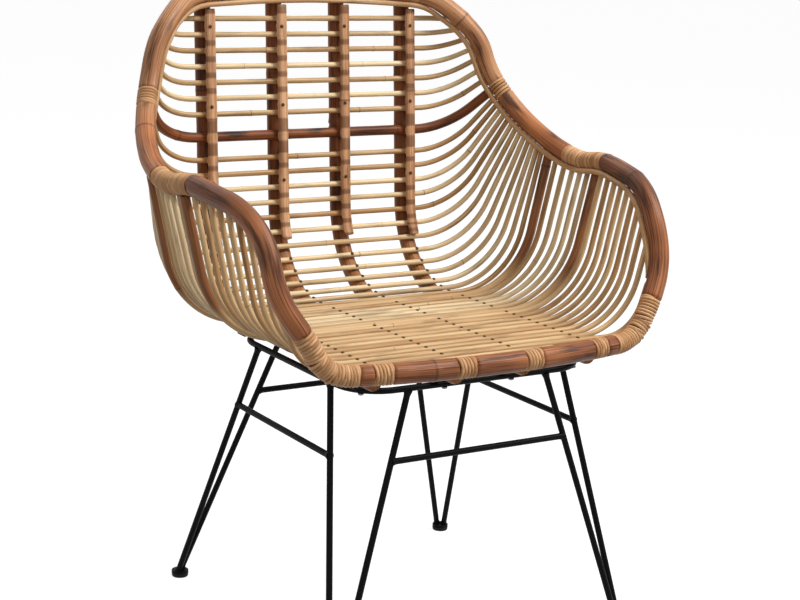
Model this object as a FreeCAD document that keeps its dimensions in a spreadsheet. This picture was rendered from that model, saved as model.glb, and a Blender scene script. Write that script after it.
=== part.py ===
import FreeCAD, Part
import math
import os
from FreeCAD import Vector

# A rattan armchair: a bucket of bent canes inside a thick rim pole, on a welded steel rod base.
# Millimetres, +Z up, the sitter faces -Y, origin on the floor under the middle of the chair.

doc = FreeCAD.newDocument("RattanArmchair")
sheet = doc.addObject("Spreadsheet::Sheet", "Sizes")

driving_sizes = [
    # The rim's centre line, right half, from the top of the back round to the front of the seat
    ("half_width", 338, "widest point of the rim, from the middle plane"),
    ("back_height", 862, "top of the back"),
    ("back_reach", 264, "how far back the top of the rim lies"),
    ("crown_half", 175, "half the nearly straight top stretch"),
    ("crown_drop", 5, "fall of the top stretch at its end"),
    ("crown_forward", 10, "forward bow of the top stretch at its end"),
    ("shoulder_inset", 81, "shoulder, inwards from the widest point"),
    ("shoulder_drop", 55, "shoulder, below the top"),
    ("shoulder_forward", 47, "shoulder, in front of the top"),
    ("waist_inset", 45, "end of the lumbar pole, inwards from the widest point"),
    ("waist_height", 723, "end of the lumbar pole, above the floor"),
    ("waist_forward", 77, "end of the lumbar pole, in front of the top"),
    ("arm_height", 629, "arm, above the floor"),
    ("arm_rear_inset", 2, "rear of the arm, inwards from the widest point"),
    ("arm_rear_reach", 46, "rear of the arm, along Y"),
    ("arm_front_inset", 9, "front of the arm, inwards from the widest point"),
    ("arm_front_reach", -68, "front of the arm, along Y"),
    ("bend_inset", 28, "front bend, inwards from the widest point"),
    ("bend_reach", -168, "front bend, along Y"),
    ("bend_height", 602, "front bend, above the floor"),
    ("knee_inset", 53, "foremost part of the side, inwards from the widest point"),
    ("knee_reach", -231, "foremost part of the side, along Y"),
    ("knee_height", 491, "foremost part of the side, above the floor"),
    ("corner_inset", 128, "seat corner, inwards from the widest point"),
    ("corner_reach", -248, "seat corner, along Y"),
    ("corner_height", 416, "seat corner, above the floor"),
    ("front_reach", -268, "middle of the front pole, along Y"),
    ("front_height", 415, "middle of the front pole, above the floor"),
    # The cane layer's middle profile
    ("seat_height", 417, "cane layer of the seat"),
    ("heel_reach", 229, "where the lines of the back and the seat would cross, along Y"),
    ("heel_radius", 135, "bend between back and seat"),
    ("lumbar_height", 649, "lumbar pole at the middle of the back"),
    ("rear_rib_reach", 92, "rear seat rib, along Y"),
    ("front_rib_reach", -23, "front seat rib, along Y"),
    ("back_corner_share", 0.5, "where a back cane bends forward, between the flat and the rim"),
    ("arm_corner_share", 0.66, "where a seat cane bends upward, between the flat and the rim"),
    # Spacing of the canes
    ("first_row_drop", 43, "first cane below the top of the rim"),
    ("row_pitch", 22.4, "canes on the back, middle to middle"),
    ("lumbar_space", 33, "lumbar pole to the canes beside it"),
    ("rib_space", 19, "rib to the canes beside it, at the middle of the seat"),
    ("arm_pitch", 19, "canes along the arm, middle to middle"),
    ("fan_gap", 0.5, "least gap between cane ends that crowd together on the rim"),
    ("row_end_gap", 4.8, "between the lumbar pole's end and the cane end above it"),
    # Sections of the rattan pieces, and the places of the spines
    ("rim_diameter", 28, "rim pole"),
    ("cane_diameter", 8, "canes"),
    ("trim_diameter", 8, "trim over the cane ends"),
    ("trim_step", 22, "about how far apart the trim's bends are worked out"),
    ("spine_diameter", 24, "spine poles behind the canes"),
    ("strip_width", 16, "split strips in front of the canes"),
    ("strip_thickness", 6, "split strips in front of the canes"),
    ("strip_length", 352, "split strips, from top to bottom"),
    ("lumbar_diameter", 15, "lumbar pole"),
    ("rib_diameter", 14, "seat ribs"),
    ("inner_spine", 53, "inner spines, from the middle plane"),
    ("outer_spine", 169, "outer spines, from the middle plane"),
    ("flat_margin", 4, "flat part of a cane beyond the outer spines"),
    # Bindings and pins
    ("binding_wire", 3.8, "binding cane"),
    ("binding_gap", 0.5, "least gap between turns"),
    ("long_binding", 102, "bindings on the arms and corners"),
    ("short_binding", 26, "bindings where a pole meets the rim"),
    ("lumbar_binding_drop", 9, "bindings of the lumbar pole, along the rim below its ends"),
    ("arm_joint_reach", 0, "joint in the arm, along Y"),
    ("corner_joint_run", 40, "joint at the seat corner, along the rim before the corner point"),
    ("dowel_diameter", 8, "dowels inside the rim joints"),
    ("dowel_length", 30, "dowels inside the rim joints"),
    ("nail_diameter", 2, "nails through the strips and the seat's canes"),
    ("nail_head", 5.4, "nail heads"),
    ("nail_head_height", 0.9, "nail heads"),
    ("nail_depth", 6, "nails, in the spine"),
    # The steel base
    ("rod_diameter", 8.6, "all the base's rods"),
    ("ring_height", 383, "ring under the seat"),
    ("ring_half_width", 184, "ring"),
    ("ring_half_depth", 171, "ring"),
    ("ring_reach", -52, "middle of the ring, along Y"),
    ("ring_corner", 55, "ring's corner radius"),
    ("side_rod_offset", 101, "legs on the side rails, from the ring's middle"),
    ("end_rod_offset", 108, "legs on the front and rear rails, from the ring's middle"),
    ("foot_half_width", 231, "feet, from the middle plane"),
    ("foot_rear_reach", 200, "rear feet, along Y"),
    ("foot_front_reach", -264, "front feet, along Y"),
    ("foot_spread", 11.2, "two rods of a leg, apart at the foot"),
    ("leg_top_drop", 3.8, "top of a leg rod, below the ring's axis"),
    ("stretcher_height", 291, "stretchers"),
    ("disc_diameter", 25, "foot disc"),
    ("disc_thickness", 4, "foot disc"),
    ("glide_height", 6, "glide under the disc"),
    ("glide_chamfer", 1.5, "glide's lower edge"),
    # Seat fixings
    ("block_width", 34, "saddle block across the spine"),
    ("block_depth", 22, "saddle block along the spine"),
    ("saddle_drop", 2, "top of a saddle block below the spine's axis"),
    ("screw_diameter", 4, "seat screw"),
    ("screw_head", 8, "seat screw's head"),
    ("screw_head_height", 2.6, "seat screw's head"),
    ("screw_depth", 9, "seat screw in the spine"),
    # Clearances
    ("seat_gap", 0.3, "between rattan pieces that lie against each other"),
    ("end_gap", 0.4, "between a cane's end and the rim"),
    ("notch_gap", 0.8, "round a pole in a spine's notch"),
    ("hole_gap", 0.1, "round a pin in its hole"),
]

for row, (alias, value, meaning) in enumerate(driving_sizes, start=1):
    sheet.set(f"A{row}", meaning)
    sheet.set(f"B{row}", str(value))
    sheet.setAlias(f"B{row}", alias)
doc.recompute()


def size(alias):
    return float(getattr(sheet, alias))


nodes = {}


def keep(label, document_object):
    document_object.Label = label
    nodes[label] = document_object
    return document_object


def feature(label, shape):
    made = doc.addObject("Part::Feature", label)
    made.Shape = shape
    made.Placement = FreeCAD.Placement()
    return keep(label, made)


# Paths of straight runs and tangent arcs

tiny = 1e-6
bisections = 60


def unit(vector):
    return vector / vector.Length


def mirror(point):
    return Vector(-point.x, point.y, point.z)


class Piece:
    # A straight run, or an arc that starts along tangent and bends towards inward
    def __init__(self, start, tangent, length, inward=None, radius=None):
        self.start = start
        self.tangent = tangent
        self.length = length
        self.inward = inward
        self.radius = radius

    def point(self, run):
        if self.radius is None:
            return self.start + self.tangent * run
        turn = run / self.radius
        along = self.tangent * (self.radius * math.sin(turn))
        return self.start + along + self.inward * (self.radius * (1 - math.cos(turn)))

    def direction(self, run):
        if self.radius is None:
            return Vector(self.tangent)
        turn = run / self.radius
        return self.tangent * math.cos(turn) + self.inward * math.sin(turn)

    def edge(self, first, last):
        if self.radius is None:
            return Part.LineSegment(self.point(first), self.point(last)).toShape()
        middle = self.point((first + last) / 2)
        return Part.Arc(self.point(first), middle, self.point(last)).toShape()

    def mirrored(self):
        inward = None if self.inward is None else mirror(self.inward)
        return Piece(mirror(self.start), mirror(self.tangent), self.length, inward, self.radius)

    def backwards(self):
        inward = None
        if self.radius is not None:
            turn = self.length / self.radius
            inward = self.inward * math.cos(turn) - self.tangent * math.sin(turn)
        tangent = self.direction(self.length) * -1
        return Piece(self.point(self.length), tangent, self.length, inward, self.radius)


class Path:
    def __init__(self, pieces):
        self.pieces = pieces
        self.length = sum(piece.length for piece in pieces)

    def locate(self, run):
        for piece in self.pieces[:-1]:
            if run <= piece.length:
                return piece, run
            run -= piece.length
        return self.pieces[-1], run

    def point(self, run):
        piece, rest = self.locate(run)
        return piece.point(rest)

    def direction(self, run):
        piece, rest = self.locate(run)
        return piece.direction(rest)

    def wire(self, first, last):
        edges = []
        passed = 0
        for piece in self.pieces:
            start = max(first - passed, 0)
            end = min(last - passed, piece.length)
            if end - start > tiny:
                edges.append(piece.edge(start, end))
            passed += piece.length
        return Part.Wire(edges)

    def tightest(self, first, last):
        passed = 0
        radii = [math.inf]
        for piece in self.pieces:
            if piece.radius is not None and passed < last and passed + piece.length > first:
                radii.append(piece.radius)
            passed += piece.length
        return min(radii)

    def run_where(self, axis, value, low, high):
        # Bisect for the run at which one coordinate has a value
        rising = getattr(self.point(high), axis) > getattr(self.point(low), axis)
        for _ in range(bisections):
            middle = (low + high) / 2
            if (getattr(self.point(middle), axis) < value) == rising:
                low = middle
            else:
                high = middle
        return (low + high) / 2

    def mirrored(self):
        return Path([piece.mirrored() for piece in self.pieces])

    def backwards(self):
        return Path([piece.backwards() for piece in reversed(self.pieces)])

    def then(self, other):
        return Path(self.pieces + other.pieces)


def run_to(start, end):
    return Piece(start, unit(end - start), (end - start).Length)


def arc_to(start, tangent, end):
    chord = end - start
    along = chord.dot(tangent)
    side = chord - tangent * along
    if side.Length < tiny:
        return run_to(start, end)
    inward = unit(side)
    half_turn = math.atan2(chord.dot(inward), along)
    radius = chord.Length / (2 * math.sin(half_turn))
    return Piece(start, tangent, 2 * half_turn * radius, inward, radius)


def biarc(start, leaving, end, arriving):
    # Two arcs that meet smoothly between two points with given directions
    chord = end - start
    both = leaving + arriving
    across = chord.dot(both)
    spread = 2 * (1 - leaving.dot(arriving))
    if spread < tiny:
        reach = chord.dot(chord) / (2 * across)
    else:
        reach = (math.sqrt(across ** 2 + spread * chord.dot(chord)) - across) / spread
    middle = (start + end + (leaving - arriving) * reach) / 2
    second = arc_to(end, arriving * -1, middle).backwards()
    return [arc_to(start, leaving, middle), second]


def biarc_path(points, directions):
    pieces = []
    for k in range(len(points) - 1):
        pieces += biarc(points[k], directions[k], points[k + 1], directions[k + 1])
    return Path(pieces)


def smooth_path(points, first, last):
    # Directions at the inner points follow the circle through each point and its neighbours
    directions = [first]
    for before, here, after in zip(points, points[1:], points[2:]):
        back, forward = here - before, after - here
        directions.append(unit(unit(back) * forward.Length + unit(forward) * back.Length))
    return biarc_path(points, directions + [last])


def rounded_path(points, radii):
    # Straight runs with a tangent arc of the given radius at each inner point
    pieces = []
    start = points[0]
    for corner, after, radius in zip(points[1:], points[2:], radii):
        arriving = unit(corner - start)
        leaving = unit(after - corner)
        cut = radius * math.tan(arriving.getAngle(leaving) / 2)
        pieces.append(run_to(start, corner - arriving * cut))
        start = corner + leaving * cut
        pieces.append(arc_to(corner - arriving * cut, arriving, start))
    pieces.append(run_to(start, points[-1]))
    return Path(pieces)


def tube(path, first, last, radius):
    section = Part.Wire(Part.makeCircle(radius, path.point(first), path.direction(first)))
    return path.wire(first, last).makePipeShell([section], True, False)


def whole_tube(path, radius):
    return tube(path, 0, path.length, radius)


def rod_between(start, end, radius):
    return Part.makeCylinder(radius, (end - start).Length, start, end - start)


# Radii and clearances used throughout

rim_radius = size("rim_diameter") / 2
cane_radius = size("cane_diameter") / 2
trim_radius = size("trim_diameter") / 2
spine_radius = size("spine_diameter") / 2
lumbar_radius = size("lumbar_diameter") / 2
rib_radius = size("rib_diameter") / 2
wire_radius = size("binding_wire") / 2
rod_radius = size("rod_diameter") / 2
seat_gap = size("seat_gap")
hole_gap = size("hole_gap")
neck_radius = rim_radius - size("binding_wire") - seat_gap
flat_half = size("outer_spine") + spine_radius + size("flat_margin")
spine_depth = cane_radius + seat_gap + spine_radius
spine_places = {
    "left_outer": -size("outer_spine"),
    "left_inner": -size("inner_spine"),
    "right_inner": size("inner_spine"),
    "right_outer": size("outer_spine"),
}


# The rim's centre line and the middle profile of the cane layer

def rim_point(inset, reach, height):
    return Vector(size("half_width") - inset, reach, height)


rim_points = [
    Vector(0, size("back_reach"), size("back_height")),
    Vector(size("crown_half"), size("back_reach") - size("crown_forward"),
           size("back_height") - size("crown_drop")),
    rim_point(size("shoulder_inset"), size("back_reach") - size("shoulder_forward"),
              size("back_height") - size("shoulder_drop")),
    rim_point(size("waist_inset"), size("back_reach") - size("waist_forward"), size("waist_height")),
    rim_point(size("arm_rear_inset"), size("arm_rear_reach"), size("arm_height")),
    rim_point(size("arm_front_inset"), size("arm_front_reach"), size("arm_height")),
    rim_point(size("bend_inset"), size("bend_reach"), size("bend_height")),
    rim_point(size("knee_inset"), size("knee_reach"), size("knee_height")),
    rim_point(size("corner_inset"), size("corner_reach"), size("corner_height")),
    Vector(0, size("front_reach"), size("front_height")),
]
# One arc each for the top and the front, and biarcs through the points of the side between them
top_arc = arc_to(rim_points[0], Vector(1, 0, 0), rim_points[1])
front_arc = arc_to(rim_points[-1], Vector(1, 0, 0), rim_points[-2]).backwards()
side_path = smooth_path(rim_points[1:-1], top_arc.direction(top_arc.length), front_arc.direction(0))
right_rim = Path([top_arc] + side_path.pieces + [front_arc])
left_rim = right_rim.mirrored()

profile_top = rim_points[0]
profile_heel = Vector(0, size("heel_reach"), size("seat_height"))
profile_front = Vector(0, size("front_reach"), size("seat_height"))
up_the_back = unit(profile_top - profile_heel)
behind_back = Vector(0, up_the_back.z, -up_the_back.y)


def profile(side, depth):
    # The profile at a distance from the middle plane and a depth behind the cane layer
    heel_shift = Vector(0, depth * (1 + behind_back.z) / behind_back.y, -depth)
    across = Vector(side, 0, 0)
    points = [
        profile_top + behind_back * depth + across,
        profile_heel + heel_shift + across,
        profile_front + Vector(0, 0, -depth) + across,
    ]
    return rounded_path(points, [size("heel_radius") + depth])


middle_profile = profile(0, 0)


def rim_run_at(point_number):
    # Run along the rim at one of its points: the top is one arc, and each later gap holds two
    return sum(piece.length for piece in right_rim.pieces[:2 * point_number - 1])


crown_run = rim_run_at(1)
shoulder_run = rim_run_at(2)
waist_run = rim_run_at(3)
knee_run = rim_run_at(7)
corner_run = rim_run_at(8)
lumbar_place = middle_profile.run_where("z", size("lumbar_height"), 0, middle_profile.length)


def profile_place(reach):
    return middle_profile.run_where("y", reach, lumbar_place, middle_profile.length)


def rim_run_at_reach(reach):
    return right_rim.run_where("y", reach, waist_run, knee_run)


rear_rib_run = rim_run_at_reach(size("rear_rib_reach"))
front_rib_run = rim_run_at_reach(size("front_rib_reach"))
rear_rib_place = profile_place(size("rear_rib_reach"))


# Where each cane meets the rim, and where it crosses the middle profile

longest_bend = 0.6  # of the run from the corner to the end
rim_search = 60
rim_samples = 121
stop_accuracy = 0.01


def rim_near(run):
    return [right_rim.point(near) for near in spread(run - rim_search, run + rim_search, rim_samples)]


class CaneLine:
    def __init__(self, run, place, corner_share):
        self.run = run
        self.end = right_rim.point(run)
        self.middle = middle_profile.point(place)
        self.place = place
        corner_x = self.end.x
        if self.end.x > flat_half:
            corner_x = flat_half + corner_share * (self.end.x - flat_half)
        self.corner = Vector(corner_x, self.middle.y, self.middle.z)

    def path(self, radius, depth=0):
        # From the left rim to the right, at a depth behind the cane layer
        rising = unit(self.end - self.corner)
        level = unit(Vector(0, self.end.y - self.corner.y, self.end.z - self.corner.z))
        behind_end = unit(Vector(rising.dot(level), 0, 0) - level * rising.x)
        turn = Vector(1, 0, 0).getAngle(rising)
        corner = self.corner + (behind(self.place) + Vector(math.tan(turn / 2), 0, 0)) * depth
        end = self.end + behind_end * depth
        end -= unit(end - corner) * self.stop(end, unit(end - corner), radius)
        turn = Vector(1, 0, 0).getAngle(end - corner)
        cut = min(corner.x - flat_half, (end - corner).Length * longest_bend)
        bend = cut / math.tan(turn / 2)
        return rounded_path([mirror(end), mirror(corner), corner, end], [bend, bend])

    def stop(self, end, rising, radius):
        # How far short of the rim's centre line a square end of this radius clears the rim pole
        side = unit(rising.cross(right_rim.direction(self.run)))
        other = rising.cross(side)
        rim = rim_near(self.run)
        square_end = [Vector(), side * radius, side * -radius, other * radius, other * -radius]
        low, high = 0, self.corner.distanceToPoint(self.end)
        while high - low > stop_accuracy:
            middle = (low + high) / 2
            centre = end - rising * middle
            nearest = min((centre + offset).distanceToPoint(point) for offset in square_end for point in rim)
            if nearest < rim_radius + size("end_gap"):
                low = middle
            else:
                high = middle
        return high


def spread(first, last, count):
    return [first + (last - first) * k / (count - 1) for k in range(count)]


def share_between(run, first, last):
    low, high = size("back_corner_share"), size("arm_corner_share")
    return low + (high - low) * min(max((run - first) / (last - first), 0), 1)


first_row_place = size("first_row_drop")
last_row_place = lumbar_place - size("lumbar_space")
row_count = round((last_row_place - first_row_place) / size("row_pitch")) + 1
first_row_height = middle_profile.point(first_row_place).z
first_row_run = right_rim.run_where("z", first_row_height, crown_run, waist_run)
crowd_step = size("cane_diameter") + size("fan_gap")
beside_lumbar = lumbar_radius + cane_radius + size("fan_gap")
beside_rib = rib_radius + cane_radius + size("fan_gap")

back_lines = []
row_runs = spread(first_row_run, waist_run - beside_lumbar - size("row_end_gap"), row_count)
for run, place in zip(row_runs, spread(first_row_place, last_row_place, row_count)):
    back_lines.append(CaneLine(run, place, size("back_corner_share")))

fan_first = waist_run + beside_lumbar
fan_last = rear_rib_run - beside_rib
fan_count = int((fan_last - fan_first) / crowd_step) + 1
fan_places = spread(lumbar_place + size("lumbar_space"), rear_rib_place - size("rib_space"), fan_count)
fan_lines = []
for run, place in zip(spread(fan_first, fan_last, fan_count), fan_places):
    fan_lines.append(CaneLine(run, place, share_between(run, waist_run, rear_rib_run)))


def upright_line(reach):
    return CaneLine(rim_run_at_reach(reach), profile_place(reach), size("arm_corner_share"))


rib_distance = size("rear_rib_reach") - size("front_rib_reach")
arm_count = round(rib_distance / size("arm_pitch")) - 1
arm_step = rib_distance / (arm_count + 1)
arm_lines = [upright_line(size("rear_rib_reach") - arm_step * (k + 1)) for k in range(arm_count)]

foremost = size("knee_reach") + cane_radius
seat_count = int((size("front_rib_reach") - foremost) / size("arm_pitch"))
seat_lines = [upright_line(size("front_rib_reach") - size("arm_pitch") * (k + 1)) for k in range(seat_count)]

lumbar_line = CaneLine(waist_run, lumbar_place, size("back_corner_share"))
rib_lines = {"rear": upright_line(size("rear_rib_reach")), "front": upright_line(size("front_rib_reach"))}


# Canes, lumbar pole and ribs

def behind(place):
    # The way from the cane layer to the spines behind it or the floor below it
    along = middle_profile.direction(place)
    return Vector(0, -along.z, along.y)


def nail(side, place, front_depth, radius):
    # A nail's shank, from a depth in front of the cane layer into the spine
    start = middle_profile.point(place) + Vector(side, 0, 0) - behind(place) * front_depth
    length = front_depth + cane_radius + seat_gap + size("nail_depth")
    return Part.makeCylinder(radius, length, start, behind(place))


def headed_nail(side, place, front_depth):
    head_height = size("nail_head_height")
    top = middle_profile.point(place) + Vector(side, 0, 0) - behind(place) * (front_depth + head_height)
    head = Part.makeCylinder(size("nail_head") / 2, head_height, top, behind(place))
    return nail(side, place, front_depth, size("nail_diameter") / 2).fuse(head).removeSplitter()


def nail_hole(side, place, front_depth):
    return nail(side, place, front_depth, size("nail_diameter") / 2 + hole_gap)


nailed_depth = cane_radius + hole_gap
nailed_places = []


def nailed(cane, place):
    # A cane with a nail hole over each spine
    nailed_places.append(place)
    return cane.cut([nail_hole(side, place, nailed_depth) for side in spine_places.values()])


strip_bottom = size("strip_length") + size("first_row_drop")


def cane_group(label, lines):
    canes = []
    for line in lines:
        cane = whole_tube(line.path(cane_radius), cane_radius)
        canes.append(nailed(cane, line.place) if line.place > strip_bottom else cane)
    feature(label, Part.makeCompound(canes))


def front_edge_canes():
    # Straight canes that fill the seat between the last bent one and the front pole
    canes = []
    reach = seat_lines[-1].middle.y - size("arm_pitch")
    nearest = size("front_reach") + rim_radius + size("end_gap") + cane_radius
    while reach > nearest:
        run = right_rim.run_where("y", reach, corner_run, right_rim.length)
        touching = right_rim.point(run)
        slope = right_rim.direction(run)
        crossing = slope.getAngle(Vector(1, 0, 0))
        stop = (rim_radius + size("end_gap") + cane_radius * abs(math.cos(crossing))) / math.sin(crossing)
        end = Vector(touching.x - stop, reach, size("seat_height"))
        canes.append(rod_between(mirror(end), end, cane_radius))
        reach -= size("arm_pitch")
    return canes


cane_group("back_canes", back_lines)
cane_group("fan_canes", fan_lines)
cane_group("arm_canes", arm_lines)
cane_group("seat_canes", seat_lines)
feature("front_edge_canes", Part.makeCompound(front_edge_canes()))

lumbar_path = lumbar_line.path(lumbar_radius, lumbar_radius - cane_radius)
feature("lumbar_pole", whole_tube(lumbar_path, lumbar_radius))
crossing_poles = [(lumbar_path, lumbar_radius)]
for name, line in rib_lines.items():
    rib_path = line.path(rib_radius, rib_radius - cane_radius)
    feature(f"{name}_seat_rib", whole_tube(rib_path, rib_radius))
    crossing_poles.append((rib_path, rib_radius))


# Rim poles, necked under their bindings, with dowels in the joints

lumbar_binding_run = waist_run + size("lumbar_binding_drop")
arm_joint_run = rim_run_at_reach(size("arm_joint_reach"))
corner_joint_run = corner_run - size("corner_joint_run")
spine_top_runs = {}
spine_front_runs = {}
for name, side in spine_places.items():
    spine_top_runs[name] = right_rim.run_where("x", abs(side), 0, shoulder_run)
    spine_front_runs[name] = right_rim.run_where("x", abs(side), corner_run, right_rim.length)


class Binding:
    # A neck in the rim pole, filled by one winding
    def __init__(self, label, path, run, length):
        self.path = path
        self.label = label
        self.first = run - length / 2
        self.last = run + length / 2


bindings = []
for side, path in (("left", left_rim), ("right", right_rim)):
    bindings.append(Binding(f"{side}_lumbar_binding", path, lumbar_binding_run, size("short_binding")))
    bindings.append(Binding(f"{side}_arm_binding", path, arm_joint_run, size("long_binding")))
    bindings.append(Binding(f"{side}_corner_binding", path, corner_joint_run, size("long_binding")))
for name, side in spine_places.items():
    path = left_rim if side < 0 else right_rim
    bindings.append(Binding(f"{name}_top_binding", path, spine_top_runs[name], size("short_binding")))
    bindings.append(Binding(f"{name}_front_binding", path, spine_front_runs[name], size("short_binding")))


def stepped_pole(path, first, last):
    # A pole from one run to another, thinner where a binding lies
    spans = []
    start = first
    necks = [b for b in bindings if b.path is path and b.last > first and b.first < last]
    for neck in sorted(necks, key=lambda b: b.first):
        if neck.first > start:
            spans.append((start, neck.first, rim_radius))
        spans.append((max(neck.first, first), min(neck.last, last), neck_radius))
        start = neck.last
    if start < last:
        spans.append((start, last, rim_radius))
    return [tube(path, low, high, radius) for low, high, radius in spans]


def fused(solids):
    shape = solids[0]
    if len(solids) > 1:
        shape = shape.fuse(solids[1:])
    return shape.Solids[0] if len(shape.Solids) == 1 else shape


def dowel_at(path, run, radius, length):
    along = path.direction(run)
    return Part.makeCylinder(radius, length, path.point(run) - along * (length / 2), along)


dowels = []
bores = []
for path in (left_rim, right_rim):
    for run in (arm_joint_run, corner_joint_run):
        dowels.append(dowel_at(path, run, size("dowel_diameter") / 2, size("dowel_length")))
        bore_radius = size("dowel_diameter") / 2 + hole_gap
        bores.append(dowel_at(path, run, bore_radius, size("dowel_length") + 2 * hole_gap))

back_arch = stepped_pole(left_rim, 0, arm_joint_run) + stepped_pole(right_rim, 0, arm_joint_run)
front_pole = stepped_pole(left_rim, corner_joint_run, left_rim.length)
front_pole += stepped_pole(right_rim, corner_joint_run, right_rim.length)
rim_poles = {
    "back_arch": back_arch,
    "front_pole": front_pole,
    "left_arm_pole": stepped_pole(left_rim, arm_joint_run, corner_joint_run),
    "right_arm_pole": stepped_pole(right_rim, arm_joint_run, corner_joint_run),
}
for label, solids in rim_poles.items():
    feature(label, fused(solids).cut(bores))
feature("rim_dowels", Part.makeCompound(dowels))


# Windings: one unbroken binding cane each, wound round its neck

def winding(binding):
    path = binding.path
    coil_radius = rim_radius - wire_radius - seat_gap / 2
    tightest = path.tightest(binding.first, binding.last)
    pitch = (size("binding_wire") + size("binding_gap")) / (1 - coil_radius / tightest)
    margin = size("binding_wire") / 2 + seat_gap
    loops = int((binding.last - binding.first - 2 * margin) / pitch)
    start = (binding.first + binding.last - loops * pitch) / 2
    outward = path.point(start) - Vector(0, 0, (size("seat_height") + size("back_height")) / 2)
    points, directions = [], []
    for quarter in range(4 * loops + 1):
        run = start + pitch * quarter / 4
        along = path.direction(run)
        outward = unit(outward - along * outward.dot(along))
        sideways = along.cross(outward)
        turn = quarter * math.pi / 2
        points.append(path.point(run) + (outward * math.cos(turn) + sideways * math.sin(turn)) * coil_radius)
        circling = sideways * math.cos(turn) - outward * math.sin(turn)
        directions.append(unit(circling * (2 * math.pi * coil_radius) + along * pitch))
    return biarc_path(points, directions), loops


steps_per_turn = 24


def least_gap(path, wire, turn_length):
    # Least distance between points over half a turn apart along the winding, less the wire
    step = turn_length / steps_per_turn
    points = [path.point(k * step) for k in range(int(path.length / step))]
    nearest, furthest = steps_per_turn // 2 + 2, 3 * steps_per_turn // 2
    gap = math.inf
    for k, point in enumerate(points):
        for other in points[k + nearest:k + furthest]:
            gap = min(gap, point.distanceToPoint(other))
    return gap - wire


for binding in bindings:
    wound, loops = winding(binding)
    gap = least_gap(wound, size("binding_wire"), wound.length / loops)
    print(f"{binding.label}: {loops} turns, least gap to itself {gap:.2f}")
    feature(binding.label, whole_tube(wound, wire_radius))


# Trim cane that lies in the corner between the rim and the cane ends, on the sitter's side

def place_of_run(run):
    # The profile place that belongs to a run along the rim
    lines_in_turn = back_lines + [lumbar_line] + fan_lines + [rib_lines["rear"]]
    known = [(line.run, line.place) for line in lines_in_turn]
    if run <= known[0][0]:
        return known[0][1]
    for (low, low_place), (high, high_place) in zip(known, known[1:]):
        if run <= high:
            return low_place + (high_place - low_place) * (run - low) / (high - low)
    return profile_place(right_rim.point(run).y)


sitter = Vector(0, 0, (size("arm_height") + size("seat_height")) / 2)
trim_reach = rim_radius + seat_gap + trim_radius
trim_lift = cane_radius + seat_gap + trim_radius
trim_lean = math.sqrt(trim_reach ** 2 - trim_lift ** 2)


def trim_seat(run):
    # The point of the cane layer just inside the rim, and the way along the cane there
    line = CaneLine(run, place_of_run(run), share_between(run, waist_run, rear_rib_run))
    inwards = unit(line.corner - line.end)
    slant = inwards.getAngle(right_rim.direction(run))
    return line.end + inwards * (trim_lean / math.sin(slant)), inwards


def trim_point(run):
    seat, inwards = trim_seat(run)
    along_seat = trim_seat(run + crowd_step)[0] - trim_seat(run - crowd_step)[0]
    lift = unit(inwards.cross(along_seat))
    if lift.dot(sitter - seat) < 0:
        lift = lift * -1
    raised = seat + lift * trim_lift
    beside = min(rim_near(run), key=raised.distanceToPoint)
    return beside + unit(raised - beside) * max(raised.distanceToPoint(beside), trim_reach)


trim_end_run = seat_lines[-1].run + cane_radius
trim_runs = spread(0, trim_end_run, round(trim_end_run / size("trim_step")) + 1)
trim_points = [trim_point(run) for run in trim_runs]
right_trim = smooth_path(trim_points, Vector(1, 0, 0), unit(trim_points[-1] - trim_points[-2]))
rim_trim = right_trim.mirrored().backwards().then(right_trim)
feature("rim_trim", whole_tube(rim_trim, trim_radius))


# Spines behind the canes, split strips in front, and the nails that hold them together

spine_start = math.sqrt((rim_radius + seat_gap) ** 2 - (cane_radius + seat_gap) ** 2) + seat_gap


def heel_start(path):
    # Where a profile leaves the straight back
    return path.pieces[0].length


def seat_run_at(path, reach):
    return path.run_where("y", reach, heel_start(path), path.length)


def spine_end(name, path):
    run = spine_front_runs[name]
    slope = right_rim.direction(run)
    crossing = slope.getAngle(Vector(0, 1, 0))
    stop = (rim_radius + seat_gap + spine_radius * abs(math.cos(crossing))) / math.sin(crossing)
    return seat_run_at(path, right_rim.point(run).y + stop)


def strip(side):
    # A split cane, flat side to the canes, from just below the trim
    path = profile(side, -(cane_radius + seat_gap))
    widest = abs(side) + size("strip_width") / 2
    over = right_trim.point(right_trim.run_where("x", widest, 0, shoulder_run))
    strip_start = (profile_top - over).dot(up_the_back) + trim_radius + 2 * seat_gap
    start = path.point(strip_start)
    half = Vector(size("strip_width") / 2, 0, 0)
    crest = start - behind_back * size("strip_thickness")
    flat = Part.LineSegment(start + half, start - half).toShape()
    bow = Part.Arc(start - half, crest, start + half).toShape()
    last = strip_start + size("strip_length")
    return path.wire(strip_start, last).makePipeShell([Part.Wire([bow, flat])], True, False)


def between_rows(lines, number):
    return (lines[number].place + lines[number + 1].place) / 2


strip_nail_places = [
    between_rows(back_lines, 0),
    between_rows(back_lines, row_count - 2),
    between_rows(fan_lines, 1),
]
strip_front = cane_radius + seat_gap + size("strip_thickness")


nails = []
spine_paths = {}
notches = [whole_tube(path, radius + size("notch_gap")) for path, radius in crossing_poles]
ring_top = size("ring_height") + rod_radius


def screw_reaches(side):
    # Where a spine crosses the front and the rear of the ring, in its corners too
    corner = size("ring_corner")
    into_corner = max(abs(side) - (size("ring_half_width") - corner), 0)
    half_depth = size("ring_half_depth") - corner + math.sqrt(corner ** 2 - into_corner ** 2)
    return [size("ring_reach") - half_depth, size("ring_reach") + half_depth]


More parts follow.
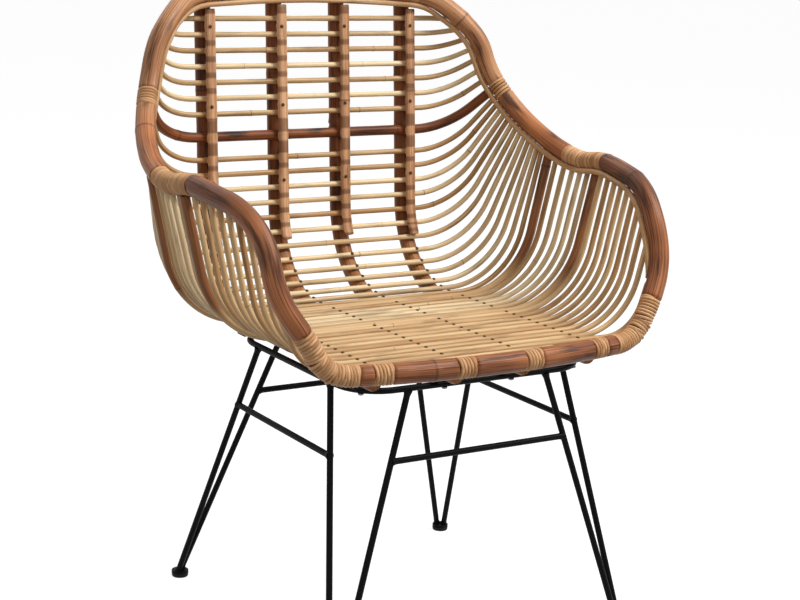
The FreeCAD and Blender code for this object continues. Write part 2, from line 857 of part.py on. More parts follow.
for name, side in spine_places.items():
    path = profile(side, spine_depth)
    spine_paths[name] = path
    nails += [headed_nail(side, place, strip_front) for place in strip_nail_places]
    nails += [headed_nail(side, place, nailed_depth) for place in nailed_places]
    holes = [nail_hole(side, place, strip_front) for place in strip_nail_places]
    feature(f"{name}_strip", strip(side).cut(holes))
    holes += [nail_hole(side, place, nailed_depth) for place in nailed_places]
    spine = tube(path, spine_start, spine_end(name, path), spine_radius)
    for reach in screw_reaches(side):
        axis_height = path.point(seat_run_at(path, reach)).z
        hole_top = axis_height - spine_radius + size("screw_depth") + hole_gap
        base = Vector(side, reach, size("ring_height"))
        radius = size("screw_diameter") / 2 + hole_gap
        holes.append(Part.makeCylinder(radius, hole_top - base.z, base))
    feature(f"{name}_spine", spine.cut(notches + holes))
feature("cane_nails", Part.makeCompound(nails))


# Steel ring, drilled for the seat screws

def ring_path():
    half_x, half_y = size("ring_half_width"), size("ring_half_depth")
    middle = Vector(0, size("ring_reach"), size("ring_height"))
    weld = Vector(0, -half_y)
    corners = [(half_x, -half_y), (half_x, half_y), (-half_x, half_y), (-half_x, -half_y)]
    points = [middle + offset for offset in [weld] + [Vector(*corner) for corner in corners] + [weld]]
    return rounded_path(points, [size("ring_corner")] * len(corners))


ring_solid = whole_tube(ring_path(), rod_radius)
ring_holes = []
screws = []
blocks = []
for name, side in spine_places.items():
    path = spine_paths[name]
    for reach in screw_reaches(side):
        axis = path.point(seat_run_at(path, reach))
        under = Vector(side, reach, size("ring_height") - rod_radius)
        top = axis.z - spine_radius + size("screw_depth")
        shank = Part.makeCylinder(size("screw_diameter") / 2, top - under.z, under)
        head_height = size("screw_head_height")
        head = Part.makeCylinder(size("screw_head") / 2, head_height, under - Vector(0, 0, head_height))
        screws.append(shank.fuse(head).removeSplitter())
        hole = Part.makeCylinder(size("screw_diameter") / 2 + hole_gap, top - under.z, under)
        ring_holes.append(hole)
        corner = Vector(side - size("block_width") / 2, reach - size("block_depth") / 2, ring_top)
        block_height = axis.z - size("saddle_drop") - ring_top
        block = Part.makeBox(size("block_width"), size("block_depth"), block_height, corner)
        saddle = tube(path, heel_start(path), path.length, spine_radius + hole_gap)
        blocks.append(block.cut([saddle, hole]))
base_ring = feature("base_ring", ring_solid.cut(ring_holes))
feature("seat_screws", Part.makeCompound(screws))
feature("saddle_blocks", Part.makeCompound(blocks))


# Feet, and legs of two rods each that spread from the foot to the ring

disc_base = size("glide_height")
disc_top = disc_base + size("disc_thickness")
leg_zone = doc.addObject("Part::Box", "LegZone")
leg_zone_height = "Sizes.ring_height - Sizes.leg_top_drop - Sizes.glide_height - Sizes.disc_thickness"
leg_zone.setExpression("Length", "4 * Sizes.foot_half_width")
leg_zone.setExpression("Width", "4 * Sizes.foot_half_width")
leg_zone.setExpression("Height", leg_zone_height)
leg_zone.Placement.Base = Vector(-2 * size("foot_half_width"), -2 * size("foot_half_width"), disc_top)


def bound_rod(name, start, end, length):
    rod = doc.addObject("Part::Cylinder", name)
    rod.setExpression("Radius", "Sizes.rod_diameter / 2")
    rod.Height = length
    rod.Placement = FreeCAD.Placement(start, FreeCAD.Rotation(Vector(0, 0, 1), end - start))
    return rod


def operation(kind, name, base, tool):
    made = doc.addObject(kind, name)
    made.Base = base
    made.Tool = tool
    return made


def leg_rod(label, top, foot):
    direction = unit(foot - top)
    start = top - direction * size("rod_diameter")
    long_rod = bound_rod(label + "_bar", start, foot, (foot - start).Length + size("rod_diameter"))
    trimmed = operation("Part::Common", label + "_trimmed", long_rod, leg_zone)
    return keep(label, operation("Part::Cut", label, trimmed, base_ring))


def glide(label, place):
    # A turned glide with a chamfered lower edge
    body = doc.addObject("PartDesign::Body", label)
    sketch = body.newObject("Sketcher::SketchObject", label + "_section")
    plane = [item for item in body.Origin.OriginFeatures if item.Role == "XZ_Plane"][0]
    sketch.AttachmentSupport = [(plane, "")]
    sketch.MapMode = "FlatFace"
    radius = size("disc_diameter") / 2
    chamfer = size("glide_chamfer")
    height = size("glide_height")
    outline = [(0, 0), (radius - chamfer, 0), (radius, chamfer), (radius, height), (0, height)]
    for start, end in zip(outline, outline[1:] + outline[:1]):
        sketch.addGeometry(Part.LineSegment(Vector(*start, 0), Vector(*end, 0)))
    turned = body.newObject("PartDesign::Revolution", label + "_turned")
    turned.Profile = sketch
    turned.ReferenceAxis = (sketch, ["V_Axis"])
    turned.Angle = 360
    body.Placement.Base = place
    return keep(label, body)


foot_reaches = {"rear": size("foot_rear_reach"), "front": size("foot_front_reach")}
rod_axes = {}
for end_name, reach in foot_reaches.items():
    away = 1 if end_name == "rear" else -1
    for side_name, sign in (("left", -1), ("right", 1)):
        leg = f"{end_name}_{side_name}"
        foot = Vector(sign * size("foot_half_width"), reach, disc_top)
        side_reach = size("ring_reach") + away * size("side_rod_offset")
        end_reach = size("ring_reach") + away * size("ring_half_depth")
        side_top = Vector(sign * size("ring_half_width"), side_reach, size("ring_height"))
        end_top = Vector(sign * size("end_rod_offset"), end_reach, size("ring_height"))
        apart = unit(side_top - end_top) * (size("foot_spread") / 2)
        rod_axes[leg, "side"] = (side_top, foot + apart)
        rod_axes[leg, "end"] = (end_top, foot - apart)
        leg_rod(f"{leg}_side_rod", *rod_axes[leg, "side"])
        leg_rod(f"{leg}_{end_name}_rod", *rod_axes[leg, "end"])
        disc = doc.addObject("Part::Cylinder", f"{leg}_foot_disc")
        disc.setExpression("Radius", "Sizes.disc_diameter / 2")
        disc.setExpression("Height", "Sizes.disc_thickness")
        disc.Placement.Base = Vector(foot.x, foot.y, disc_base)
        keep(f"{leg}_foot_disc", disc)
        glide(f"{leg}_glide", Vector(foot.x, foot.y, 0))
doc.recompute()


# Stretchers between neighbouring legs, coped to the rods they meet

def axis_point(leg, kind, height):
    top, foot = rod_axes[leg, kind]
    return top + (foot - top) * ((top.z - height) / (top.z - foot.z))


def stretcher(label, first, second, kinds):
    start = axis_point(first, kinds[0], size("stretcher_height"))
    end = axis_point(second, kinds[1], size("stretcher_height"))
    bar = bound_rod(label + "_bar", start, end, (end - start).Length)
    rods = [nodes[f"{first}_{kinds[0]}_rod"], nodes[f"{second}_{kinds[1]}_rod"]]
    coped = operation("Part::Cut", label + "_coped", bar, rods[0])
    keep(label, operation("Part::Cut", label, coped, rods[1]))


for leg in ("rear_left", "rear_right", "front_left", "front_right"):
    rod_axes[leg, leg.split("_")[0]] = rod_axes[leg, "end"]
stretcher("left_stretcher", "rear_left", "front_left", ("side", "side"))
stretcher("right_stretcher", "rear_right", "front_right", ("side", "side"))
stretcher("rear_stretcher", "rear_left", "rear_right", ("rear", "rear"))
stretcher("front_stretcher", "front_left", "front_right", ("front", "front"))
doc.recompute()


# Check every object, then write each sub-part

for item in doc.Objects:
    if "Invalid" in item.State or "Error" in item.State:
        raise RuntimeError(f"{item.Label} failed: {item.State}")
for label, item in nodes.items():
    if item.Shape.isNull() or not item.Shape.isValid():
        raise RuntimeError(f"{label} has no valid shape")
os.makedirs("parts", exist_ok=True)
for label, item in nodes.items():
    item.Shape.exportStep(os.path.join("parts", label + ".step"))
print(f"{len(nodes)} sub-parts, {sum(len(item.Shape.Solids) for item in nodes.values())} solids")
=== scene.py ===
import math

import bmesh
import bpy
import numpy as np
from mathutils import Matrix, Vector


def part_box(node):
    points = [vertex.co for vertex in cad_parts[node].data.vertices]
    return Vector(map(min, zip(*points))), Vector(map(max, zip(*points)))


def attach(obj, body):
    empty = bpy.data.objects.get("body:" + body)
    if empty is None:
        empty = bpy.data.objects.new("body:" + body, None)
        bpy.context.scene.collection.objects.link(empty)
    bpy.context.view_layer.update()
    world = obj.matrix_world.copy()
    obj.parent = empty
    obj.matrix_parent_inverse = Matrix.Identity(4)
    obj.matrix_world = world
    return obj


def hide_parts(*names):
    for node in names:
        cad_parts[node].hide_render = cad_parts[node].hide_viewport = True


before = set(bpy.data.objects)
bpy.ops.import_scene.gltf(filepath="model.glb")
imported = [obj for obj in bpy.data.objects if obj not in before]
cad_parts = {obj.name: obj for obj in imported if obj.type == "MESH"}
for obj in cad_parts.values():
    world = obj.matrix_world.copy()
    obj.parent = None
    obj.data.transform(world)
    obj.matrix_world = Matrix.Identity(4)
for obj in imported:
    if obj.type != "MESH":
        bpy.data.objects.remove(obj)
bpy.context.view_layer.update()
scene = bpy.context.scene
print("frame:", len(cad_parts), "nodes")


# Reading the frame: every pole and cane is found again as a line with a radius

tracing = {
    "weld": 2e-6,            # corners closer than this are one corner
    "step": 0.003,           # distance between two sections
    "reach": 2.5,            # a section looks this many radii round
    "clear": 0.0025,         # closer to the far end than this, a section may be cut short
    "roundness": 0.03,       # a section further from a circle than this is a hole or a notch
    "leastLoop": 9,          # points before a closed line may meet its start
    "sliver": 1e-14,         # twice the area under which a triangle has no direction
    "normalGrid": 300,       # triangles of one flat end mostly share a cell of these grids
    "offsetGrid": 30000,
    "flatAngle": 1e-5,       # and differ by less than this
    "flatOffset": 5e-5,
    "seedFaces": 3,
    "capFaces": 6,
    "compact": 1.2,          # an end is a disc, not a long facet
    "probe": 0.002,          # nothing of the solid lies this far outside an end
    "probeReach": 4,
    "rodShares": (0.3, 0.7),    # where along a rod the two sections are that give its axis
    "rodReach": 0.05,
    "rodRounds": 3,
}
upward = np.array([0.0, 0.0, 1.0])


def cornersOf(mesh):
    place = np.empty(len(mesh.vertices) * 3)
    mesh.vertices.foreach_get("co", place)
    return place.reshape(-1, 3)


def stepsOf(points):
    return np.linalg.norm(np.diff(points, axis=0), axis=1)


def nodesEnding(ending):
    return sorted(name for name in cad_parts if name.endswith(ending))


def solidsOf(nodeName):
    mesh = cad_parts[nodeName].data
    mesh.calc_loop_triangles()
    corner = np.empty(len(mesh.loop_triangles) * 3, dtype=np.int32)
    mesh.loop_triangles.foreach_get("vertices", corner)
    place = cornersOf(mesh)
    keys = np.round(place / tracing["weld"]).astype(np.int64)
    welded = np.unique(keys, axis=0, return_inverse=True)[1].reshape(-1)[corner].reshape(-1, 3)
    group = np.arange(welded.max() + 1)
    while True:  # the lowest number spreads over each solid
        lowest = group.copy()
        np.minimum.at(lowest, welded.ravel(), np.repeat(group[welded].min(axis=1), 3))
        lowest = lowest[lowest]
        if np.array_equal(lowest, group):
            break
        group = lowest
    triangles = place[corner].reshape(-1, 3, 3)
    faceGroup = group[welded[:, 0]]
    return [triangles[faceGroup == number] for number in np.unique(faceGroup)]


def section(triangles, point, direction, reach):
    low, high = triangles.min(axis=1), triangles.max(axis=1)
    near = np.all((low < point + reach) & (high > point - reach), axis=1)
    corner = triangles[near]
    height = (corner - point) @ direction
    cut = (height.min(axis=1) < 0) & (height.max(axis=1) >= 0)
    height, corner = height[cut], corner[cut]
    nextHeight, nextCorner = np.roll(height, -1, axis=1), np.roll(corner, -1, axis=1)
    crossing = (height < 0) != (nextHeight < 0)
    share = np.where(crossing, height / np.where(crossing, height - nextHeight, 1), 0)
    ends = (corner + share[..., None] * (nextCorner - corner))[crossing].reshape(-1, 2, 3)
    ends = ends[np.linalg.norm(ends.mean(axis=1) - point, axis=1) < reach]
    length = np.linalg.norm(ends[:, 0] - ends[:, 1], axis=1)
    if length.sum() == 0:
        return None
    middle = ends.mean(axis=1)
    centre = (middle * length[:, None]).sum(axis=0) / length.sum()
    radius = (np.linalg.norm(middle - centre, axis=1) * length).sum() / length.sum()
    return centre, radius, length.sum()


def flatEnds(triangles):
    normal = np.cross(triangles[:, 1] - triangles[:, 0], triangles[:, 2] - triangles[:, 0])
    doubleArea = np.linalg.norm(normal, axis=1)
    whole = doubleArea > tracing["sliver"]
    face, area = triangles[whole], doubleArea[whole] / 2
    normal = normal[whole] / doubleArea[whole, None]
    offset = (normal * face[:, 0]).sum(axis=1)
    cell = np.column_stack([normal * tracing["normalGrid"], offset * tracing["offsetGrid"]])
    keys = np.round(cell).astype(np.int64)
    first, count = np.unique(keys, axis=0, return_index=True, return_counts=True)[1:]
    ends = []
    for seed in first[count >= tracing["seedFaces"]]:
        alike = normal @ normal[seed] > 1 - tracing["flatAngle"]
        own = alike & (abs(offset - offset[seed]) < tracing["flatOffset"])
        middle = (face[own].mean(axis=1) * area[own, None]).sum(axis=0) / area[own].sum()
        radius = math.sqrt(area[own].sum() / math.pi)
        compact = np.linalg.norm(face[own] - middle, axis=2).max() < tracing["compact"] * radius
        known = any(np.linalg.norm(middle - end[0]) < radius for end in ends)
        if own.sum() < tracing["capFaces"] or not compact or known:
            continue
        outside = middle + normal[seed] * tracing["probe"]
        if section(triangles, outside, normal[seed], tracing["probeReach"] * radius) is None:
            ends.append((middle, normal[seed], radius))
    return sorted(ends, key=lambda end: -end[2])


def march(triangles, point, direction, radius, roundOnly=True, closed=False):
    line, radii = [point], [radius]
    while True:
        ahead = line[-1] + direction * tracing["step"]
        cut = section(triangles, ahead, direction, tracing["reach"] * radius)
        if cut is None:
            break
        circle = abs(cut[2] / (2 * math.pi * cut[1]) - 1) < tracing["roundness"]
        line.append(cut[0] if circle or not roundOnly else ahead)
        radii.append(cut[1] if circle else radii[-1])
        direction = line[-1] - line[-2]
        direction = direction / np.linalg.norm(direction)
        nearStart = np.linalg.norm(line[-1] - line[0]) < tracing["step"]
        if closed and nearStart and len(line) > tracing["leastLoop"]:
            break
    return line, radii


def traceTube(triangles):
    near, far = flatEnds(triangles)[:2]
    line, radii = march(triangles, near[0], -near[1], near[2])
    radii[0] = radii[1]
    short = [np.linalg.norm(far[0] - point) < far[2] and (far[0] - point) @ far[1] < tracing["clear"]
             for point in line]
    kept = short.index(True) if True in short else len(line)
    return np.array(line[:kept] + [far[0]]), np.array(radii[:kept] + [radii[kept - 1]])


def traceNode(nodeName):
    return [traceTube(triangles) for triangles in solidsOf(nodeName)]


def rodAxis(nodeName):
    triangles = solidsOf(nodeName)[0]
    corner = triangles.reshape(-1, 3)
    middle = (corner.min(axis=0) + corner.max(axis=0)) / 2
    direction = np.linalg.svd(corner - corner.mean(axis=0), full_matrices=False)[2][0]
    for _ in range(tracing["rodRounds"]):
        run = (corner - middle) @ direction
        low, high = run.min(), run.max()
        near, far = [section(triangles, middle + direction * (low + share * (high - low)), direction,
                             tracing["rodReach"]) for share in tracing["rodShares"]]
        middle, radius = near[0], near[1]
        direction = (far[0] - near[0]) / np.linalg.norm(far[0] - near[0])
    run = (corner - middle) @ direction
    ends = np.array([middle + direction * run.min(), middle + direction * run.max()])
    return ends, np.array([radius, radius])


def headPlaces(nodeName):
    # the outer face of each nail or screw
    return [flatEnds(triangles)[0] for triangles in solidsOf(nodeName)]


# Geometry Nodes and pieces

def addNode(tree, kind, inputs=None, **settings):
    node = tree.nodes.new(kind)
    for name, value in settings.items():
        setattr(node, name, value)
    for socket, value in (inputs or {}).items():
        if isinstance(value, bpy.types.NodeSocket):
            tree.links.new(value, node.inputs[socket])
        else:
            node.inputs[socket].default_value = value
    return node


def nodeOut(tree, kind, inputs=None, **settings):
    return addNode(tree, kind, inputs, **settings).outputs[0]


def calc(tree, operation, *values):
    return nodeOut(tree, "ShaderNodeMath", dict(enumerate(values)), operation=operation)


def vectorCalc(tree, operation, *values):
    return nodeOut(tree, "ShaderNodeVectorMath", dict(enumerate(values)), operation=operation)


def scaled(tree, vector, factor):
    return nodeOut(tree, "ShaderNodeVectorMath", {0: vector, "Scale": factor}, operation="SCALE")


def smooth(tree, value, fromLow, fromHigh, low, high):
    values = {0: value, 1: fromLow, 2: fromHigh, 3: low, 4: high}
    return nodeOut(tree, "ShaderNodeMapRange", values, interpolation_type="SMOOTHSTEP")


def chance(tree, low, high, number, seed):
    values = {2: low, 3: high, "ID": number, "Seed": seed}
    return addNode(tree, "FunctionNodeRandomValue", values, data_type="FLOAT").outputs[1]


def store(tree, geometry, name, value, kind="FLOAT"):
    values = {"Geometry": geometry, "Name": name, "Value": value}
    return nodeOut(tree, "GeometryNodeStoreNamedAttribute", values, data_type=kind, domain="POINT")


def named(tree, name, kind="FLOAT"):
    return nodeOut(tree, "GeometryNodeInputNamedAttribute", {"Name": name}, data_type=kind)


def evenLine(tree, given):
    values = {"Curve": given["Geometry"], "Length": given["Step"]}
    return nodeOut(tree, "GeometryNodeResampleCurve", values, mode="LENGTH")


def runAlong(tree):
    # the length from the start of a line, and to its nearer end
    run = addNode(tree, "GeometryNodeSplineParameter").outputs["Length"]
    whole = addNode(tree, "GeometryNodeSplineLength").outputs["Length"]
    return run, calc(tree, "MINIMUM", run, calc(tree, "SUBTRACT", whole, run))


def unitRing(tree, sides):
    values = {"Resolution": sides, "Radius": 1.0}
    return nodeOut(tree, "GeometryNodeCurvePrimitiveCircle", values)


def keepRound(tree, profile):
    place = nodeOut(tree, "GeometryNodeInputPosition")
    return store(tree, profile, "round", place, "FLOAT_VECTOR")


def swept(tree, line, profile, scale=1.0):
    values = {"Curve": line, "Profile Curve": profile, "Scale": scale, "Fill Caps": True}
    return nodeOut(tree, "GeometryNodeCurveToMesh", values)


def storeGrain(tree, mesh, girth):
    around = scaled(tree, named(tree, "round", "FLOAT_VECTOR"), girth)
    along = nodeOut(tree, "ShaderNodeCombineXYZ", {2: named(tree, "along")})
    return store(tree, mesh, "grain", vectorCalc(tree, "ADD", around, along), "FLOAT_VECTOR")


def newGroup(name, groupKind, inputs, outputs):
    group = bpy.data.node_groups.new(name, groupKind)
    for direction, sockets in (("INPUT", inputs), ("OUTPUT", outputs)):
        for label, kind in sockets.items():
            group.interface.new_socket(label, in_out=direction, socket_type="NodeSocket" + kind)
    return group, group.nodes.new("NodeGroupInput").outputs, group.nodes.new("NodeGroupOutput").inputs


def newTree(name, sockets):
    mesh = {"Geometry": "Geometry"}
    return newGroup(name, "GeometryNodeTree", {**mesh, **sockets}, mesh)


def closeTree(tree, mesh, finish, result):
    shaded = nodeOut(tree, "GeometryNodeSetShadeSmooth", {"Geometry": mesh})
    real = nodeOut(tree, "GeometryNodeRealizeInstances", {"Geometry": shaded})
    finished = nodeOut(tree, "GeometryNodeSetMaterial", {"Geometry": real, "Material": finish})
    tree.links.new(finished, result["Geometry"])


def camel(words):
    return words[0].lower() + "".join(word.capitalize() for word in words[1:])


def runTree(name, source, tree, settings, nodeNames):
    # a setting goes to the input of its name, as tipShare to Tip share
    modifier = source.modifiers.new(name, "NODES")
    modifier.node_group = tree
    values = {**settings, "finish": finishes[settings["finish"]]}
    for item in tree.interface.items_tree:
        label = camel(item.name.split())
        if item.in_out == "INPUT" and label in values:
            modifier[item.identifier] = values[label]
    evaluated = source.evaluated_get(bpy.context.evaluated_depsgraph_get())
    mesh = bpy.data.meshes.new_from_object(evaluated)
    bpy.data.objects.remove(source)
    for spare in ("round", "along", "outward", "axis"):
        if spare in mesh.attributes:
            mesh.attributes.remove(mesh.attributes[spare])
    piece = placed(name, mesh)
    stands(piece, nodeNames)
    return piece


def placed(name, mesh):
    mesh.name = name
    piece = bpy.data.objects.new(name, mesh)
    scene.collection.objects.link(piece)
    return piece


def stands(piece, nodeNames):
    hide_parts(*nodeNames)
    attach(piece, "root")


def lineObject(name, lines, cyclic=False):
    data = bpy.data.curves.new(name, "CURVE")
    data.dimensions = "3D"
    for points, radii in lines:
        spline = data.splines.new("POLY")
        spline.points.add(len(points) - 1)
        spline.points.foreach_set("co", np.column_stack([points, np.ones(len(points))]).ravel())
        spline.points.foreach_set("radius", np.asarray(radii, dtype=float))
        spline.use_cyclic_u = cyclic
    source = bpy.data.objects.new(name + "Path", data)
    scene.collection.objects.link(source)
    return source


# Materials

def colour(red, green, blue):
    # screen values from 0 to 255, as light
    screen = (red, green, blue)
    return tuple(((v / 255 + 0.055) / 1.055) ** 2.4 if v > 10 else v / 3294 for v in screen) + (1,)


def newSurface(name, inputs):
    outputs = {"Color": "Color", "Roughness": "Float", "Height": "Float"}
    return newGroup(name, "ShaderNodeTree", inputs, outputs)


def blend(tree, share, first, second):
    values = {"Factor": share, 6: first, 7: second}
    return addNode(tree, "ShaderNodeMix", values, data_type="RGBA").outputs[2]


def noise(tree, vector, scale, detail):
    return nodeOut(tree, "ShaderNodeTexNoise", {"Vector": vector, "Scale": scale, "Detail": detail})


grainPattern = {
    "streak": (700, 700, 9),      # waves per metre across the pole, twice, and along it
    "fibre": (2400, 2400, 28),
    "cloud": (70, 70, 11),
    "patch": (16, 16, 8),
    "fibreShare": 0.35,
    "stained": (0.52, 0.70),      # from none to full, on the cloud
    # on the knuckle mark, which on the split strips also holds painted shade in the hollows between canes
    "scarred": (0.72, 1.0),       # on the knuckle
    "roughSpread": 0.3,
    "fibreHeight": 0.5,
}


def grainGroup():
    group, given, result = newSurface("rattanGrain", {
        "Light": "Color", "Dark": "Color", "Stain": "Color", "Streaks": "Float", "Tone spread": "Float",
        "Patches": "Float", "Stain amount": "Float", "Scar": "Float", "Gloss": "Float"})
    grain = addNode(group, "ShaderNodeAttribute", attribute_name="grain").outputs["Vector"]
    tone = addNode(group, "ShaderNodeAttribute", attribute_name="tone").outputs["Fac"]
    knuckle = addNode(group, "ShaderNodeAttribute", attribute_name="knuckle").outputs["Fac"]
    streak, fibre, cloud, patch = [
        noise(group, vectorCalc(group, "MULTIPLY", grain, grainPattern[name]), 1.0, detail)
        for name, detail in (("streak", 3), ("fibre", 2), ("cloud", 3), ("patch", 2))]
    share = 0.5
    for value, weight in ((streak, given["Streaks"]), (tone, given["Tone spread"]),
                          (fibre, grainPattern["fibreShare"]), (patch, given["Patches"])):
        share = calc(group, "MULTIPLY_ADD", calc(group, "SUBTRACT", value, 0.5), weight, share)
    share = nodeOut(group, "ShaderNodeClamp", {0: share})
    base = blend(group, share, given["Dark"], given["Light"])
    stained = smooth(group, cloud, *grainPattern["stained"], 0, 1)
    base = blend(group, calc(group, "MULTIPLY", stained, given["Stain amount"]), base, given["Stain"])
    # the knuckle mark darkens towards the stain colour: on poles it is a real knuckle, and on the split
    # strips it also holds painted shade in the hollows
    scarred = smooth(group, knuckle, *grainPattern["scarred"], 0, 1)
    scarAndShade = calc(group, "MULTIPLY", scarred, given["Scar"])
    group.links.new(blend(group, scarAndShade, base, given["Stain"]), result["Color"])
    smoothness = calc(group, "SUBTRACT", 0.5, streak)
    rough = calc(group, "MULTIPLY_ADD", smoothness, grainPattern["roughSpread"], given["Gloss"])
    group.links.new(rough, result["Roughness"])
    height = calc(group, "MULTIPLY_ADD", fibre, grainPattern["fibreHeight"], streak)
    group.links.new(calc(group, "MULTIPLY_ADD", scarAndShade, -1.0, height), result["Height"])
    return group


rattanGrain = grainGroup()


def setInputs(node, values):
    for label, value in values.items():
        node.inputs[label].default_value = value


def shaderOf(name):
    material = bpy.data.materials.new(name)
    material.use_nodes = True
    return material, material.node_tree, material.node_tree.nodes["Principled BSDF"]


def groupNode(tree, group, look):
    node = addNode(tree, "ShaderNodeGroup", node_tree=group)
    setInputs(node, {label: value for label, value in look.items() if label in node.inputs})
    return node.outputs


bumpStrength = {"rattan": 0.5, "plain": 0.4}


def dress(tree, shader, base, surface, look, strength):
    tree.links.new(base, shader.inputs["Base Color"])
    tree.links.new(surface["Roughness"], shader.inputs["Roughness"])
    values = {"Strength": strength, "Distance": look["bump"], "Height": surface["Height"]}
    tree.links.new(nodeOut(tree, "ShaderNodeBump", values), shader.inputs["Normal"])
    shader.inputs["Specular IOR Level"].default_value = look["sheen"]


def rattanFinish(name, look):
    material, tree, shader = shaderOf(name)
    grain = groupNode(tree, rattanGrain, look)
    dress(tree, shader, grain["Color"], grain, look, bumpStrength["rattan"])
    return material


def shades(light, dark, stain):
    return {"Light": colour(*light), "Dark": colour(*dark), "Stain": colour(*stain)}


rimGrain = {"Streaks": 1.9, "Tone spread": 0.3, "Patches": 1.8, "Stain amount": 0.8, "Scar": 0.6,
            "Gloss": 0.42, "bump": 0.0005, "sheen": 0.22}
caneGrain = {"Streaks": 1.4, "Stain amount": 0.5, "Scar": 0.8, "Gloss": 0.42, "bump": 0.0002, "sheen": 0.2}
stoutGrain = {"Tone spread": 0.3, "Patches": 1.0, "Scar": 0.8, "Gloss": 0.45, "bump": 0.0003, "sheen": 0.18}
rattanLooks = {
    "rimPole": {
        **shades((224, 168, 120), (120, 64, 35), (48, 21, 10)), **rimGrain, "Patches": 1.3},
    "armPole": {
        **shades((194, 124, 78), (78, 33, 16), (32, 13, 6)), **rimGrain},
    "armCrest": {
        **shades((150, 92, 58), (50, 21, 10), (24, 10, 5)), **rimGrain},
    "wallCane": {
        **shades((244, 220, 176), (174, 130, 80), (104, 70, 40)), **caneGrain,
        "Tone spread": 0.9, "Patches": 0.5},
    "seatCane": {
        **shades((230, 196, 146), (178, 132, 84), (128, 86, 48)), **caneGrain,
        "Tone spread": 0.6, "Patches": 0.6, "Scar": 0.7},
    "trimCane": {
        **shades((236, 200, 154), (180, 130, 80), (110, 66, 36)), **caneGrain,
        "Streaks": 1.3, "Tone spread": 0.2, "Patches": 0.8},
    "bindingPeel": {
        **shades((230, 184, 136), (172, 120, 74), (112, 66, 36)), **caneGrain, "bump": 0.00015,
        "Streaks": 1.3, "Tone spread": 0.7, "Patches": 0.4, "Stain amount": 0.4, "Scar": 0.5},
    "darkPole": {
        **shades((146, 84, 46), (44, 20, 9), (12, 7, 4)), **stoutGrain,
        "Streaks": 1.6, "Tone spread": 0.2, "Patches": 2.6, "Stain amount": 1.0},
    # the next two looks are a shaded and a lit copy of one rattan for the spines: the darker is painted
    # shade up the back, the lighter is painted light at the foot where they turn forward
    "spinePole": {
        **shades((158, 96, 58), (66, 32, 17), (28, 13, 7)), **stoutGrain,
        "Streaks": 1.7, "Stain amount": 0.7, "sheen": 0.15},
    "spineFoot": {
        **shades((196, 138, 92), (112, 64, 36), (56, 28, 15)), **stoutGrain,
        "Streaks": 1.7, "Stain amount": 0.6},
    "ribPole": {
        **shades((172, 116, 72), (98, 56, 31), (52, 26, 14)), **stoutGrain,
        "Streaks": 1.6, "Stain amount": 0.6, "Gloss": 0.42, "sheen": 0.2},
    # its Scar weight also darkens the hollows between canes, partly stain and partly painted shade
    "splitStrip": {
        **shades((240, 190, 146), (164, 112, 74), (84, 44, 23)), **stoutGrain, "sheen": 0.2,
        "Streaks": 1.8, "Tone spread": 0.4, "Patches": 0.8, "Stain amount": 0.4, "Scar": 0.62},
}
evenLooks = ("armPole", "wallCane", "seatCane", "trimCane", "bindingPeel", "darkPole", "splitStrip")
finishes = {name: rattanFinish(name, rattanLooks[name]) for name in evenLooks}


def fadedFinish(name, lowLook, highLook, heights):
    material, tree, shader = shaderOf(name)
    low, high = [groupNode(tree, rattanGrain, rattanLooks[look]) for look in (lowLook, highLook)]
    place = addNode(tree, "ShaderNodeTexCoord").outputs["Object"]
    height = addNode(tree, "ShaderNodeSeparateXYZ", {0: place}).outputs[2]
    mixed = blend(tree, smooth(tree, height, *heights, 0, 1), low["Color"], high["Color"])
    dress(tree, shader, mixed, high, rattanLooks[highLook], bumpStrength["rattan"])
    return material


# the look below, the look above, and the heights between which one turns into the other
fadedLooks = {
    "rimArch": ("armPole", "rimPole", (0.66, 0.75)),
    "armBend": ("armPole", "armCrest", (0.58, 0.635)),
    # the seat ribs take the seat canes' lighter look low down: painted light where they lie in the seat
    # under the top light
    "seatRib": ("seatCane", "ribPole", (0.435, 0.475)),
    # the spines fade from painted light at the foot to painted shade up the back
    "spine": ("spineFoot", "spinePole", (0.455, 0.515)),
}
finishes.update({name: fadedFinish(name, *look) for name, look in fadedLooks.items()})

specklePattern = {
    "broad": 14.0,            # waves per metre
    "flecked": (0.4, 0.75),   # from none to full, on the fine noise
    "clouded": (0.3, 0.7),    # on the broad one
    "leastCloud": 0.3,
    "roughSpread": 0.25,
}


def speckleGroup():
    group, given, result = newSurface("speckle", {
        "Base": "Color", "Fleck": "Color", "Size": "Float", "Gloss": "Float"})
    place = addNode(group, "ShaderNodeTexCoord").outputs["Object"]
    fine = noise(group, place, given["Size"], 2)
    broad = noise(group, place, specklePattern["broad"], 3)
    flecked = smooth(group, fine, *specklePattern["flecked"], 0, 1)
    clouded = smooth(group, broad, *specklePattern["clouded"], specklePattern["leastCloud"], 1)
    share = calc(group, "MULTIPLY", flecked, clouded)
    group.links.new(blend(group, share, given["Base"], given["Fleck"]), result["Color"])
    rough = calc(group, "MULTIPLY_ADD", calc(group, "SUBTRACT", broad, 0.5),
                 specklePattern["roughSpread"], given["Gloss"])
    group.links.new(rough, result["Roughness"])
    group.links.new(fine, result["Height"])
    return group


speckle = speckleGroup()


def plainFinish(name, look):
    material, tree, shader = shaderOf(name)
    spots = groupNode(tree, speckle, look)
    dress(tree, shader, spots["Color"], spots, look, bumpStrength["plain"])
    shader.inputs["Metallic"].default_value = look["metal"]
    return material


